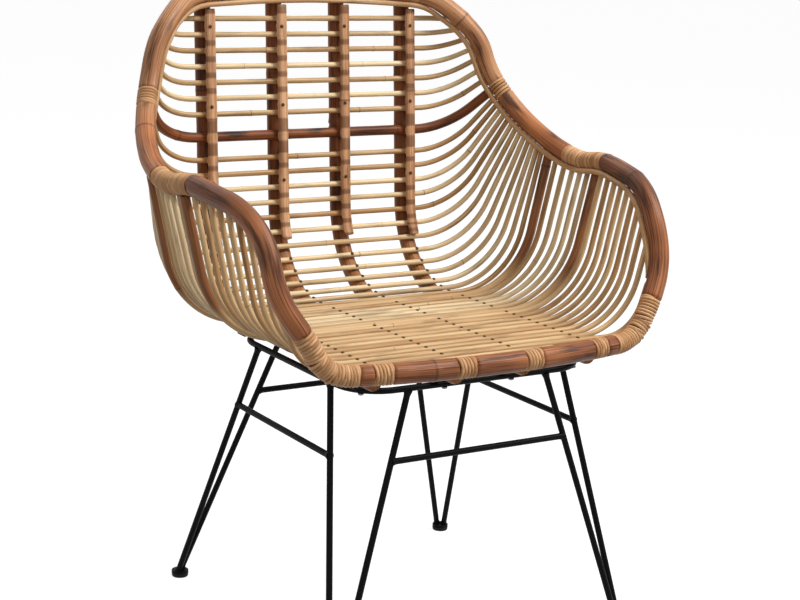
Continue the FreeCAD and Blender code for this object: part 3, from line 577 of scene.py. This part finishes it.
plainLooks = {
    "blackSteel": {
        "Base": colour(6, 6, 7), "Fleck": colour(13, 13, 14), "Size": 1500,
        "Gloss": 0.5, "bump": 0.0001, "metal": 0.0, "sheen": 0.07},
    "blackMoulding": {
        "Base": colour(16, 16, 16), "Fleck": colour(26, 26, 26), "Size": 900,
        "Gloss": 0.6, "bump": 0.0001, "metal": 0.0, "sheen": 0.15},
    "zincScrew": {
        "Base": colour(120, 120, 122), "Fleck": colour(160, 160, 162), "Size": 700,
        "Gloss": 0.42, "bump": 0.00005, "metal": 1.0, "sheen": 0.5},
    "dullNail": {
        "Base": colour(74, 52, 28), "Fleck": colour(104, 78, 46), "Size": 900,
        "Gloss": 0.5, "bump": 0.00005, "metal": 0.4, "sheen": 0.3},
    "plainDowel": {
        "Base": colour(204, 172, 126), "Fleck": colour(172, 132, 86), "Size": 400,
        "Gloss": 0.6, "bump": 0.0001, "metal": 0.0, "sheen": 0.3},
}
finishes.update({name: plainFinish(name, look) for name, look in plainLooks.items()})
print("materials:", len(finishes))


# Poles and canes: a tube with swollen knuckles, wavering girth and grain that follows it

growth = {
    "offset": 9.0,             # each length starts at another place in the grain, up to this
    "spacing": (0.8, 1.25),    # spread of the distance between knuckles
    "waverPerLength": 7.31,    # steps through the noise from one length to the next
    "waverPerMetre": 22.0,
    "knuckleLeast": 0.003,     # half width of a knuckle, and what the girth adds
    "knucklePerGirth": 0.6,
}


def poleTree():
    tree, given, result = newTree("rattanPole", {
        "Step": "Float", "Sides": "Int", "Girth": "Float", "Internode": "Float", "Knuckle": "Float",
        "Knuckle width": "Float", "Waver": "Float", "Tip": "Float", "Tip share": "Float",
        "Seed": "Int", "Finish": "Material"})
    line = evenLine(tree, given)
    number = addNode(tree, "GeometryNodeCurveOfPoint").outputs["Curve Index"]
    run, toEnd = runAlong(tree)
    along = calc(tree, "ADD", run, chance(tree, 0.0, growth["offset"], number, given["Seed"]))
    spread = chance(tree, *growth["spacing"], number, calc(tree, "ADD", given["Seed"], 1))
    spacing = calc(tree, "MULTIPLY", given["Internode"], spread)
    phase = calc(tree, "FRACT", calc(tree, "DIVIDE", along, spacing))
    away = calc(tree, "MULTIPLY", calc(tree, "ABSOLUTE", calc(tree, "SUBTRACT", phase, 0.5)), spacing)
    fall = calc(tree, "DIVIDE", away, given["Knuckle width"])
    knuckle = calc(tree, "MAXIMUM", calc(tree, "SUBTRACT", 1.0, fall), 0.0)
    line = store(tree, line, "along", along)
    line = store(tree, line, "knuckle", knuckle)
    line = store(tree, line, "tone", chance(tree, 0.0, 1.0, number, calc(tree, "ADD", given["Seed"], 2)))
    where = calc(tree, "MULTIPLY_ADD", number, growth["waverPerLength"],
                 calc(tree, "MULTIPLY", along, growth["waverPerMetre"]))
    waver = nodeOut(tree, "ShaderNodeTexNoise", {"W": where, "Scale": 1.0, "Detail": 1.0},
                    noise_dimensions="1D")
    swell = calc(tree, "MULTIPLY_ADD", calc(tree, "SUBTRACT", waver, 0.5), given["Waver"], 1.0)
    bump = calc(tree, "MULTIPLY", calc(tree, "MULTIPLY", knuckle, knuckle), given["Knuckle"])
    radius = nodeOut(tree, "GeometryNodeInputRadius")
    scale = calc(tree, "MULTIPLY_ADD", radius, swell, bump)
    tip = smooth(tree, toEnd, 0.0, given["Tip"], given["Tip share"], 1.0)
    ring = keepRound(tree, unitRing(tree, given["Sides"]))
    mesh = swept(tree, line, ring, calc(tree, "MULTIPLY", scale, tip))
    closeTree(tree, storeGrain(tree, mesh, given["Girth"]), given["Finish"], result)
    return tree


rattanPole = poleTree()

plainEnd = {"tip": 0.001, "tipShare": 0.9}
rimSize = {"step": 0.002, "sides": 28, "girth": 0.014, "knuckle": 0.0007, "waver": 0.05, **plainEnd}
caneSize = {"step": 0.004, "sides": 14, "girth": 0.004, "knuckle": 0.0003, "waver": 0.12, **plainEnd}
stoutSize = {"step": 0.004, "sides": 20, "knuckle": 0.0005, "waver": 0.06, **plainEnd}
poles = {
    "backArch": {
        "nodes": ["back_arch"], "slot": "rim_pole", "finish": "rimArch",
        "seed": 11, "internode": 0.31, **rimSize},
    "leftArmPole": {
        "nodes": ["left_arm_pole"], "slot": "rim_pole", "finish": "armBend",
        "seed": 12, "internode": 0.30, **rimSize},
    "rightArmPole": {
        "nodes": ["right_arm_pole"], "slot": "rim_pole", "finish": "armBend",
        "seed": 15, "internode": 0.33, **rimSize},
    "frontPole": {
        "nodes": ["front_pole"], "slot": "rim_pole", "finish": "armPole",
        "seed": 14, "internode": 0.30, **rimSize},
    "backCanes": {
        "nodes": ["back_canes"], "slot": "cane", "finish": "wallCane",
        "seed": 21, "internode": 0.19, **caneSize},
    "fanCanes": {
        "nodes": ["fan_canes"], "slot": "cane", "finish": "wallCane",
        "seed": 22, "internode": 0.21, **caneSize},
    "armCanes": {
        "nodes": ["arm_canes"], "slot": "cane", "finish": "wallCane",
        "seed": 23, "internode": 0.20, **caneSize},
    "seatCanes": {
        "nodes": ["seat_canes", "front_edge_canes"], "slot": "seat_cane", "finish": "seatCane",
        "seed": 24, "internode": 0.22, **caneSize},
    "rimTrim": {
        "nodes": ["rim_trim"], "slot": "trim_cane", "finish": "trimCane",
        "seed": 25, "internode": 0.24, **caneSize, "waver": 0.10,
        "tip": 0.03, "tipShare": 0.3, "tuck": 0.08, "tuckGap": 0.0155},
    "lumbarPole": {
        "nodes": ["lumbar_pole"], "slot": "dark_pole", "finish": "darkPole",
        "seed": 26, "internode": 0.23, "girth": 0.0075, **stoutSize},
    # their finish is lighter low down, which is painted light where they lie in the seat
    "seatRibs": {
        "nodes": ["rear_seat_rib", "front_seat_rib"], "slot": "rib_pole", "finish": "seatRib",
        "seed": 27, "internode": 0.24, "girth": 0.007, **stoutSize},
    # their finish is painted light at the foot and painted shade up the back
    "spines": {
        "nodes": ["left_outer_spine", "left_inner_spine", "right_inner_spine", "right_outer_spine"],
        "slot": "dark_pole", "finish": "spine",
        "seed": 28, "internode": 0.25, "girth": 0.012, **stoutSize, "sides": 24, "waver": 0.05},
}
rimPoles = ("backArch", "leftArmPole", "rightArmPole", "frontPole")
poleLines = {}


def tucked(points, pole):
    # the last stretch at both ends leans over to the rim, down to a gap between the centre lines
    rim = np.concatenate([poleLines[name][0][0] for name in rimPoles])
    run = np.concatenate([[0], np.cumsum(stepsOf(points))])
    share = np.clip(1 - np.minimum(run, run[-1] - run) / pole["tuck"], 0, 1)
    share = share * share * (3 - 2 * share)
    nearest = rim[[np.argmin(np.linalg.norm(rim - point, axis=1)) for point in points]]
    away = points - nearest
    target = nearest + away / np.linalg.norm(away, axis=1)[:, None] * pole["tuckGap"]
    return points + share[:, None] * (target - points)


for name, pole in poles.items():
    lines = [line for nodeName in pole["nodes"] for line in traceNode(nodeName)]
    if "tuck" in pole:
        lines = [(tucked(points, pole), radii) for points, radii in lines]
    poleLines[name] = lines
    knuckleWidth = growth["knuckleLeast"] + growth["knucklePerGirth"] * pole["girth"]
    settings = {**pole, "knuckleWidth": knuckleWidth}
    piece = runTree(name, lineObject(name, lines), rattanPole, settings, pole["nodes"])
    print("pole:", name, len(lines), "lengths", len(piece.data.polygons), "faces")


# Bindings: flat cane peel wound round the rim where it is necked

binding = {
    "slot": "binding_cane",
    "finish": "bindingPeel",
    "pitch": 0.0042,      # a little under the peel's width, so that the turns close up
    "width": 0.0046,
    "depth": 0.0044,
    "proud": 0.0004,      # over the pole
    "leastTurns": 3,
    "turnPoints": 22,
    "sides": 8,
    "tuckTurns": 0.25,    # share of a turn in which an end goes under
    "tuckDepth": 0.8,     # and how far, in depths of the peel
    "rimRadius": 0.014,
    "neckBelow": 0.012,   # radius that tells a neck from the full pole
    "seed": 40,           # and one more for each binding
}


def bindingTree():
    tree, given, result = newTree("peelBinding", {
        "Turns": "Int", "Turn points": "Int", "Radius": "Float", "Width": "Float", "Depth": "Float",
        "Seed": "Int", "Finish": "Material"})
    count = calc(tree, "ADD", calc(tree, "MULTIPLY", given["Turns"], given["Turn points"]), 1)
    line = nodeOut(tree, "GeometryNodeCurvePrimitiveLine")
    line = nodeOut(tree, "GeometryNodeResampleCurve", {"Curve": line, "Count": count}, mode="COUNT")
    line = store(tree, line, "along", addNode(tree, "GeometryNodeSplineParameter").outputs["Factor"])
    turn = calc(tree, "MULTIPLY", named(tree, "along"), given["Turns"])
    share = calc(tree, "DIVIDE", calc(tree, "SUBTRACT", turn, 0.5),
                 calc(tree, "SUBTRACT", given["Turns"], 1.0))
    share = nodeOut(tree, "ShaderNodeClamp", {0: share})
    sample = addNode(tree, "GeometryNodeSampleCurve", {"Curves": given["Geometry"], "Factor": share},
                     mode="FACTOR", use_all_curves=True).outputs
    angle = calc(tree, "MULTIPLY", turn, math.tau)
    side = vectorCalc(tree, "CROSS_PRODUCT", sample["Tangent"], sample["Normal"])
    outward = vectorCalc(tree, "ADD", scaled(tree, sample["Normal"], calc(tree, "COSINE", angle)),
                         scaled(tree, side, calc(tree, "SINE", angle)))
    line = store(tree, line, "outward", outward, "FLOAT_VECTOR")
    toEnd = calc(tree, "MINIMUM", turn, calc(tree, "SUBTRACT", given["Turns"], turn))
    tuck = calc(tree, "MULTIPLY", smooth(tree, toEnd, 0.0, binding["tuckTurns"], binding["tuckDepth"], 0.0),
                given["Depth"])
    halfDepth = calc(tree, "MULTIPLY", given["Depth"], 0.5)
    halfWidth = calc(tree, "MULTIPLY", given["Width"], 0.5)
    radius = calc(tree, "SUBTRACT", calc(tree, "SUBTRACT", given["Radius"], halfDepth), tuck)
    place = vectorCalc(tree, "ADD", sample["Position"], scaled(tree, outward, radius))
    line = nodeOut(tree, "GeometryNodeSetPosition", {"Geometry": line, "Position": place})
    line = nodeOut(tree, "GeometryNodeSetCurveNormal", {
        "Curve": line, "Normal": named(tree, "outward", "FLOAT_VECTOR")}, mode="FREE")
    line = store(tree, line, "tone", chance(tree, 0.0, 1.0, calc(tree, "FLOOR", turn), given["Seed"]))
    line = store(tree, line, "knuckle", 0.0)
    length = addNode(tree, "GeometryNodeSplineParameter").outputs["Length"]
    line = store(tree, line, "along", calc(tree, "ADD", length, given["Seed"]))
    size = nodeOut(tree, "ShaderNodeCombineXYZ", {0: halfDepth, 1: halfWidth, 2: 1.0})
    ring = keepRound(tree, unitRing(tree, binding["sides"]))
    ring = nodeOut(tree, "GeometryNodeTransform", {"Geometry": ring, "Scale": size})
    mesh = swept(tree, line, ring)
    closeTree(tree, storeGrain(tree, mesh, given["Width"]), given["Finish"], result)
    return tree


peelBinding = bindingTree()


def chained(lines):
    # one closed line from poles that meet end to end
    loop, radii = lines[0]
    rest = list(lines[1:])
    while rest:
        gap = [min(np.linalg.norm(line[end] - loop[-1]) for end in (0, -1)) for line, _ in rest]
        line, more = rest.pop(int(np.argmin(gap)))
        if np.linalg.norm(line[-1] - loop[-1]) < np.linalg.norm(line[0] - loop[-1]):
            line, more = line[::-1], more[::-1]
        loop, radii = np.concatenate([loop, line[1:]]), np.concatenate([radii, more[1:]])
    return loop[:-1], radii[:-1]


rimLoop, rimRadii = chained([poleLines[name][0] for name in rimPoles])


def neckLine(nodeName):
    # the rim's centre line over the whole neck that a winding lies in
    middle = cornersOf(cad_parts[nodeName].data).mean(axis=0)
    count = len(rimLoop)
    first = last = int(np.argmin(np.linalg.norm(rimLoop - middle, axis=1)))
    while rimRadii[(first - 1) % count] < binding["neckBelow"]:
        first -= 1
    while rimRadii[(last + 1) % count] < binding["neckBelow"]:
        last += 1
    return rimLoop[np.arange(first, last + 1) % count]


for number, nodeName in enumerate(nodesEnding("_binding")):
    line = neckLine(nodeName)
    length = stepsOf(line).sum()
    name = camel(nodeName.split("_"))
    turns = max(binding["leastTurns"], round(length / binding["pitch"]))
    settings = {**binding, "turns": turns, "radius": binding["rimRadius"] + binding["proud"],
                "seed": binding["seed"] + number}
    runTree(name, lineObject(name, [(line, np.ones(len(line)))]), peelBinding, settings, [nodeName])
    print("binding:", name, turns, "turns over", round(length, 4))


# Split strips in front of the back canes

strips = {
    "nodes": ["left_outer_strip", "left_inner_strip", "right_inner_strip", "right_outer_strip"],
    "slot": "split_strip",
    "finish": "splitStrip",
    "width": 0.016,
    "depth": 0.006,
    "step": 0.002,
    "arcPoints": 15,
    "sag": 0.0022,           # towards the spine, between two canes
    "pressed": 0.0005,       # half the length over a cane or a nail that doesn't sag
    "slope": 0.0075,
    "overCane": 1.1,         # scale where it is pressed, and where it sags
    "betweenCanes": 0.96,
    "internode": 0.21,
    "knuckleShare": 0.035,   # half width of a knuckle, in internodes
    "knuckleSwell": 0.05,
    "endLength": 0.003,
    "endShare": 0.9,
    "traceHeight": 0.2,      # half the height over which its y is averaged to start the trace
    "traceReach": 0.05,
    "traceRadius": 0.006,
    "seed": 61,
}


def stripTree():
    tree, given, result = newTree("splitStrip", {
        "Step": "Float", "Arc radius": "Float", "Half angle": "Float", "Shift": "Float", "Sag": "Float",
        "Seed": "Int", "Finish": "Material"})
    line = evenLine(tree, given)
    number = addNode(tree, "GeometryNodeCurveOfPoint").outputs["Curve Index"]
    run, toEnd = runAlong(tree)
    tangent = nodeOut(tree, "GeometryNodeInputTangent")
    sagAndShade = nodeOut(tree, "GeometryNodeInputRadius")
    facing = vectorCalc(tree, "CROSS_PRODUCT", tangent, (1.0, 0.0, 0.0))
    line = store(tree, line, "outward", facing, "FLOAT_VECTOR")
    forward = named(tree, "outward", "FLOAT_VECTOR")
    sag = calc(tree, "MULTIPLY", sagAndShade, given["Sag"])
    back = scaled(tree, forward, calc(tree, "MULTIPLY", sag, -1.0))
    line = nodeOut(tree, "GeometryNodeSetPosition", {"Geometry": line, "Offset": back})
    line = nodeOut(tree, "GeometryNodeSetCurveNormal", {"Curve": line, "Normal": forward},
                   mode="FREE")
    along = calc(tree, "ADD", run, chance(tree, 0.0, growth["offset"], number, given["Seed"]))
    phase = calc(tree, "FRACT", calc(tree, "DIVIDE", along, strips["internode"]))
    away = calc(tree, "ABSOLUTE", calc(tree, "SUBTRACT", phase, 0.5))
    knuckle = smooth(tree, away, 0.0, strips["knuckleShare"], 1.0, 0.0)
    line = store(tree, line, "along", along)
    # the hollows between canes join the knuckle mark and darken towards the stain colour: partly stain,
    # partly painted shade
    line = store(tree, line, "knuckle", calc(tree, "MAXIMUM", knuckle, sagAndShade))
    line = store(tree, line, "tone", chance(tree, 0.0, 1.0, number, calc(tree, "ADD", given["Seed"], 1)))
    end = smooth(tree, toEnd, 0.0, strips["endLength"], strips["endShare"], 1.0)
    scale = calc(tree, "MULTIPLY_ADD", knuckle, strips["knuckleSwell"], end)
    flatness = smooth(tree, sagAndShade, 0.0, 1.0, strips["overCane"], strips["betweenCanes"])
    arc = nodeOut(tree, "GeometryNodeCurveArc", {
        "Resolution": strips["arcPoints"], "Radius": given["Arc radius"],
        "Start Angle": calc(tree, "MULTIPLY", given["Half angle"], -1.0),
        "Sweep Angle": calc(tree, "MULTIPLY", given["Half angle"], 2.0)})
    arc = nodeOut(tree, "GeometryNodeSetSplineCyclic", {"Geometry": arc, "Cyclic": True})
    offset = nodeOut(tree, "ShaderNodeCombineXYZ", {0: given["Shift"]})
    arc = nodeOut(tree, "GeometryNodeTransform", {"Geometry": arc, "Translation": offset})
    mesh = swept(tree, line, keepRound(tree, arc), calc(tree, "MULTIPLY", scale, flatness))
    closeTree(tree, storeGrain(tree, mesh, 1.0), given["Finish"], result)
    return tree


splitStrip = stripTree()


def stripLine(nodeName):
    triangles = solidsOf(nodeName)[0]
    low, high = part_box(nodeName)
    seed = np.array([(low[0] + high[0]) / 2, 0.0, (low[2] + high[2]) / 2])
    near = abs(triangles[:, :, 2].mean(axis=1) - seed[2]) < strips["traceHeight"]
    seed[1] = triangles[near][:, :, 1].mean()
    start = section(triangles, seed, upward, strips["traceReach"])[0]
    up = march(triangles, start, upward, strips["traceRadius"], roundOnly=False)[0]
    down = march(triangles, start, -upward, strips["traceRadius"], roundOnly=False)[0]
    return np.array(down[:0:-1] + up)


def sagging(line):
    # 0 where the strip lies on a cane or under a nail, 1 between two of them; this sets the sag and darkens
    # the hollow, partly stain and partly painted shade
    held = [middle for middle, _, _ in headPlaces("cane_nails")]
    for points, _ in poleLines["backCanes"] + poleLines["fanCanes"] + poleLines["lumbarPole"]:
        held.append(points[np.argmin(abs(points[:, 0] - line[:, 0].mean()))])
    away = np.min([abs((line - point) @ upward) for point in held
                   if np.linalg.norm(line - point, axis=1).min() < strips["width"]], axis=0)
    return np.clip((away - strips["pressed"]) / strips["slope"], 0, 1)


# the traced line runs through the middle of the outline, arc and flat side together
arcRadius = ((strips["width"] / 2) ** 2 + strips["depth"] ** 2) / (2 * strips["depth"])
flatSide = arcRadius - strips["depth"]
halfAngle = math.atan2(strips["width"] / 2, flatSide)
arcLength = 2 * halfAngle * arcRadius
arcMiddle = arcRadius * math.sin(halfAngle) / halfAngle
outlineMiddle = (arcLength * arcMiddle + strips["width"] * flatSide) / (arcLength + strips["width"])
stripLines = [stripLine(nodeName) for nodeName in strips["nodes"]]
source = lineObject("splitStrips", [(line, sagging(line)) for line in stripLines])
settings = {**strips, "arcRadius": arcRadius, "halfAngle": halfAngle, "shift": -outlineMiddle}
piece = runTree("splitStrips", source, splitStrip, settings, strips["nodes"])
print("strips:", len(stripLines), len(piece.data.polygons), "faces")


# Steel base

def steelTree():
    tree, given, result = newTree("steelRod", {
        "Step": "Float", "Sides": "Int", "Bead": "Float", "Bead length": "Float", "Finish": "Material"})
    line = evenLine(tree, given)
    toEnd = runAlong(tree)[1]
    bead = calc(tree, "MULTIPLY", smooth(tree, toEnd, 0.0, given["Bead length"], 1.0, 0.0), given["Bead"])
    radius = nodeOut(tree, "GeometryNodeInputRadius")
    mesh = swept(tree, line, unitRing(tree, given["Sides"]), calc(tree, "ADD", radius, bead))
    closeTree(tree, mesh, given["Finish"], result)
    return tree


steelRod = steelTree()

steel = {"slot": "black_steel", "finish": "blackSteel",
         "step": 0.002, "sides": 20, "bead": 0.0016, "beadLength": 0.008}


def steelPiece(name, lines, nodeNames, settings, cyclic=False):
    piece = runTree(name, lineObject(name, lines, cyclic), steelRod, settings, nodeNames)
    print("steel:", name, len(lines), "rods", len(piece.data.polygons), "faces")


for name, ending in {"legRods": "_rod", "stretchers": "_stretcher"}.items():
    nodeNames = nodesEnding(ending)
    steelPiece(name, [rodAxis(nodeName) for nodeName in nodeNames], nodeNames, steel)

ringLow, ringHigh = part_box("base_ring")
ringRadius = (ringHigh[2] - ringLow[2]) / 2
ringStart = np.array([0.0, ringLow[1] + ringRadius, (ringLow[2] + ringHigh[2]) / 2])
ringLine, ringRadii = march(solidsOf("base_ring")[0], ringStart, np.array([1.0, 0.0, 0.0]), ringRadius,
                            closed=True)
ring = [(ringLine[:-1], ringRadii[:-1])]
steelPiece("baseRing", ring, ["base_ring"], {**steel, "bead": 0.0}, cyclic=True)


# Turned feet

def turned(name, profiles, sides, finish):
    build = bmesh.new()
    for centre, profile in profiles:
        rings = []
        for radius, height in profile:
            if radius == 0:
                rings.append([build.verts.new((centre[0], centre[1], height))])
                continue
            rings.append([build.verts.new((centre[0] + radius * math.cos(math.tau * k / sides),
                                           centre[1] + radius * math.sin(math.tau * k / sides), height))
                          for k in range(sides)])
        for lower, upper in zip(rings, rings[1:]):
            for k in range(sides):
                corners = [lower[k % len(lower)], lower[(k + 1) % sides % len(lower)],
                           upper[(k + 1) % sides % len(upper)], upper[k % len(upper)]]
                build.faces.new(list(dict.fromkeys(corners)))
    bmesh.ops.recalc_face_normals(build, faces=build.faces)
    mesh = bpy.data.meshes.new(name)
    build.to_mesh(mesh)
    build.free()
    for face in mesh.polygons:
        face.use_smooth = True
    mesh.materials.append(finish)
    return placed(name, mesh)


# edges in bevels: how far in from the side, and how far from the lower or the upper face
feet = {
    "footDiscs": {
        "ending": "_foot_disc", "slot": "black_steel", "finish": "blackSteel", "bevel": 0.0008,
        "lower": [(2, 0), (1, 0), (0.3, 0.3), (0, 1)], "upper": [(0, 1), (0.3, 0.3), (1, 0), (2, 0)]},
    "footGlides": {
        "ending": "_glide", "slot": "glide", "finish": "blackMoulding", "bevel": 0.0012,
        "lower": [(2, 0), (1, 0.2), (0.4, 1)], "upper": [(0, 1), (0, 0.2), (0.3, 0)]},
}
footCorners = ("front_left", "front_right", "rear_left", "rear_right")
footSides = 40


def footOutline(nodeName, foot):
    low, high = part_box(nodeName)
    centre = ((low[0] + high[0]) / 2, (low[1] + high[1]) / 2)
    radius, bevel = (high[0] - low[0]) / 2, foot["bevel"]
    lower = [(radius - inward * bevel, low[2] + rise * bevel) for inward, rise in foot["lower"]]
    upper = [(radius - inward * bevel, high[2] - drop * bevel) for inward, drop in foot["upper"]]
    return centre, [(0, low[2]), *lower, *upper, (0, high[2])]


for name, foot in feet.items():
    nodeNames = [corner + foot["ending"] for corner in footCorners]
    outlines = [footOutline(nodeName, foot) for nodeName in nodeNames]
    piece = turned(name, outlines, footSides, finishes[foot["finish"]])
    stands(piece, nodeNames)
    print("feet:", name, len(outlines))


# Nail and screw heads, one instance at each place

def headTree():
    tree, given, result = newTree("headsOnPoints", {"Head": "Object", "Seed": "Int", "Finish": "Material"})
    points = nodeOut(tree, "GeometryNodeMeshToPoints", {"Mesh": given["Geometry"]})
    head = addNode(tree, "GeometryNodeObjectInfo", {"Object": given["Head"]}).outputs["Geometry"]
    number = nodeOut(tree, "GeometryNodeInputIndex")
    roll = chance(tree, 0.0, math.tau, number, given["Seed"])
    axis = named(tree, "axis", "FLOAT_VECTOR")
    lean = nodeOut(tree, "FunctionNodeAlignRotationToVector", {"Vector": axis}, axis="Z")
    spinValues = {"Axis": (0.0, 0.0, 1.0), "Angle": roll}
    spin = nodeOut(tree, "FunctionNodeAxisAngleToRotation", spinValues)
    turn = nodeOut(tree, "FunctionNodeRotateRotation", {"Rotation": lean, "Rotate By": spin},
                   rotation_space="LOCAL")
    values = {"Points": points, "Instance": head, "Rotation": turn}
    heads = nodeOut(tree, "GeometryNodeInstanceOnPoints", values)
    closeTree(tree, heads, given["Finish"], result)
    return tree


headsOnPoints = headTree()

# outlines in shares of the head's radius and height
heads = {
    "caneNails": {
        "node": "cane_nails", "slot": "nail", "finish": "dullNail",
        "height": 0.0009, "sides": 10, "seed": 71,
        "outline": [(0, -3.0), (0.4, -3.0), (0.4, -0.2), (1.0, 0.0), (0.97, 0.4), (0.62, 1.05), (0, 1.3)]},
    "seatScrews": {
        "node": "seat_screws", "slot": "screw", "finish": "zincScrew",
        "height": 0.0026, "sides": 18, "seed": 72,
        "outline": [(0, -0.1), (0.9, -0.1), (1.0, 0.0), (1.0, 0.35), (0.86, 0.75), (0.52, 1.0),
                    (0.44, 0.5), (0, 0.5)]},
}


def headPiece(name, head):
    places = headPlaces(head["node"])
    radius = places[0][2]
    data = bpy.data.meshes.new(name + "Places")
    data.from_pydata([tuple(middle - outward * head["height"]) for middle, outward, _ in places], [], [])
    axis = data.attributes.new("axis", "FLOAT_VECTOR", "POINT")
    axis.data.foreach_set("vector", np.array([outward for _, outward, _ in places]).ravel())
    source = bpy.data.objects.new(name + "Places", data)
    scene.collection.objects.link(source)
    outline = [(radius * share, head["height"] * rise) for share, rise in head["outline"]]
    shape = turned(name + "Head", [((0, 0), outline)], head["sides"], finishes[head["finish"]])
    piece = runTree(name, source, headsOnPoints, {**head, "head": shape}, [head["node"]])
    bpy.data.objects.remove(shape)
    print("heads:", name, len(places), "radius", round(radius, 5), len(piece.data.polygons), "faces")


for name, head in heads.items():
    headPiece(name, head)


# CAD nodes that stay as they are

for nodeName, finishName in {"saddle_blocks": "blackMoulding", "rim_dowels": "plainDowel"}.items():
    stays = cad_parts[nodeName].data
    stays.materials.clear()
    stays.materials.append(finishes[finishName])
print("kept nodes finished")


# Floor, light and camera

studio = {
    "floorSize": 30.0,
    "floorColour": (0.32, 0.32, 0.32, 1),
    "floorRoughness": 0.9,
    "floorGlow": 0.86,     # only where it is seen, so that it looks white
    "skyLight": 0.37,
    "lamps": [
        {"name": "keyLamp", "place": (1.5, -1.5, 3.1), "size": 1.4, "power": 106.0},
        {"name": "fillLamp", "place": (-2.4, -2.2, 1.9), "size": 2.2, "power": 9.0},
        {"name": "backLamp", "place": (-0.4, 2.4, 2.8), "size": 2.0, "power": 16.0},
    ],
    "aim": (0.0, 0.0, 0.5),
}


def seenDirectly(tree):
    path = addNode(tree, "ShaderNodeLightPath").outputs
    seen = calc(tree, "MAXIMUM", path["Is Camera Ray"], path["Is Glossy Ray"])
    return calc(tree, "MAXIMUM", seen, path["Is Transmission Ray"])


def studioFloor():
    half = studio["floorSize"] / 2
    corners = [(-half, -half, 0), (half, -half, 0), (half, half, 0), (-half, half, 0)]
    mesh = bpy.data.meshes.new("studioFloor")
    mesh.from_pydata(corners, [], [(0, 1, 2, 3)])
    material, tree, shader = shaderOf("paleFloor")
    setInputs(shader, {"Base Color": studio["floorColour"], "Roughness": studio["floorRoughness"],
                       "Specular IOR Level": 0.0, "Emission Color": (1, 1, 1, 1)})
    glow = calc(tree, "MULTIPLY", seenDirectly(tree), studio["floorGlow"])
    tree.links.new(glow, shader.inputs["Emission Strength"])
    mesh.materials.append(material)
    placed("studioFloor", mesh)


def studioSky():
    world = bpy.data.worlds.new("studioSky")
    world.use_nodes = True
    scene.world = world
    tree = world.node_tree
    background = tree.nodes["Background"]
    background.inputs["Color"].default_value = (1, 1, 1, 1)
    strength = nodeOut(tree, "ShaderNodeMapRange", {0: seenDirectly(tree), 3: studio["skyLight"], 4: 1.0})
    tree.links.new(strength, background.inputs["Strength"])


def studioLamp(lamp):
    data = bpy.data.lights.new(lamp["name"], "AREA")
    data.size = lamp["size"]
    data.energy = lamp["power"]
    item = bpy.data.objects.new(lamp["name"], data)
    item.location = lamp["place"]
    away = Vector(lamp["place"]) - Vector(studio["aim"])
    item.rotation_euler = away.to_track_quat("Z", "Y").to_euler()
    scene.collection.objects.link(item)


studioFloor()
studioSky()
for lamp in studio["lamps"]:
    studioLamp(lamp)
print("studio:", len(studio["lamps"]), "lamps")

view = {
    "place": (-1.29565, -2.09468, 0.99138),
    "azimuth": math.radians(-32.0),
    "elevation": math.radians(12.53),
    "roll": math.radians(2.13),
    "lens": 80.31,
    "sensor": 36.0,
}


def photoCamera():
    azimuth, elevation, roll = view["azimuth"], view["elevation"], view["roll"]
    back = Vector((math.sin(azimuth) * math.cos(elevation), -math.cos(azimuth) * math.cos(elevation),
                   math.sin(elevation)))
    level = Vector((math.cos(azimuth), math.sin(azimuth), 0))
    upright = back.cross(level)
    right = level * math.cos(roll) + upright * math.sin(roll)
    up = upright * math.cos(roll) - level * math.sin(roll)
    data = bpy.data.cameras.new("photoCamera")
    data.lens = view["lens"]
    data.sensor_width = view["sensor"]
    data.sensor_fit = "HORIZONTAL"
    camera = bpy.data.objects.new("photoCamera", data)
    camera.matrix_world = Matrix.Translation(view["place"]) @ Matrix((right, up, back)).transposed().to_4x4()
    scene.collection.objects.link(camera)
    scene.camera = camera


photoCamera()
scene.view_settings.view_transform = "Standard"
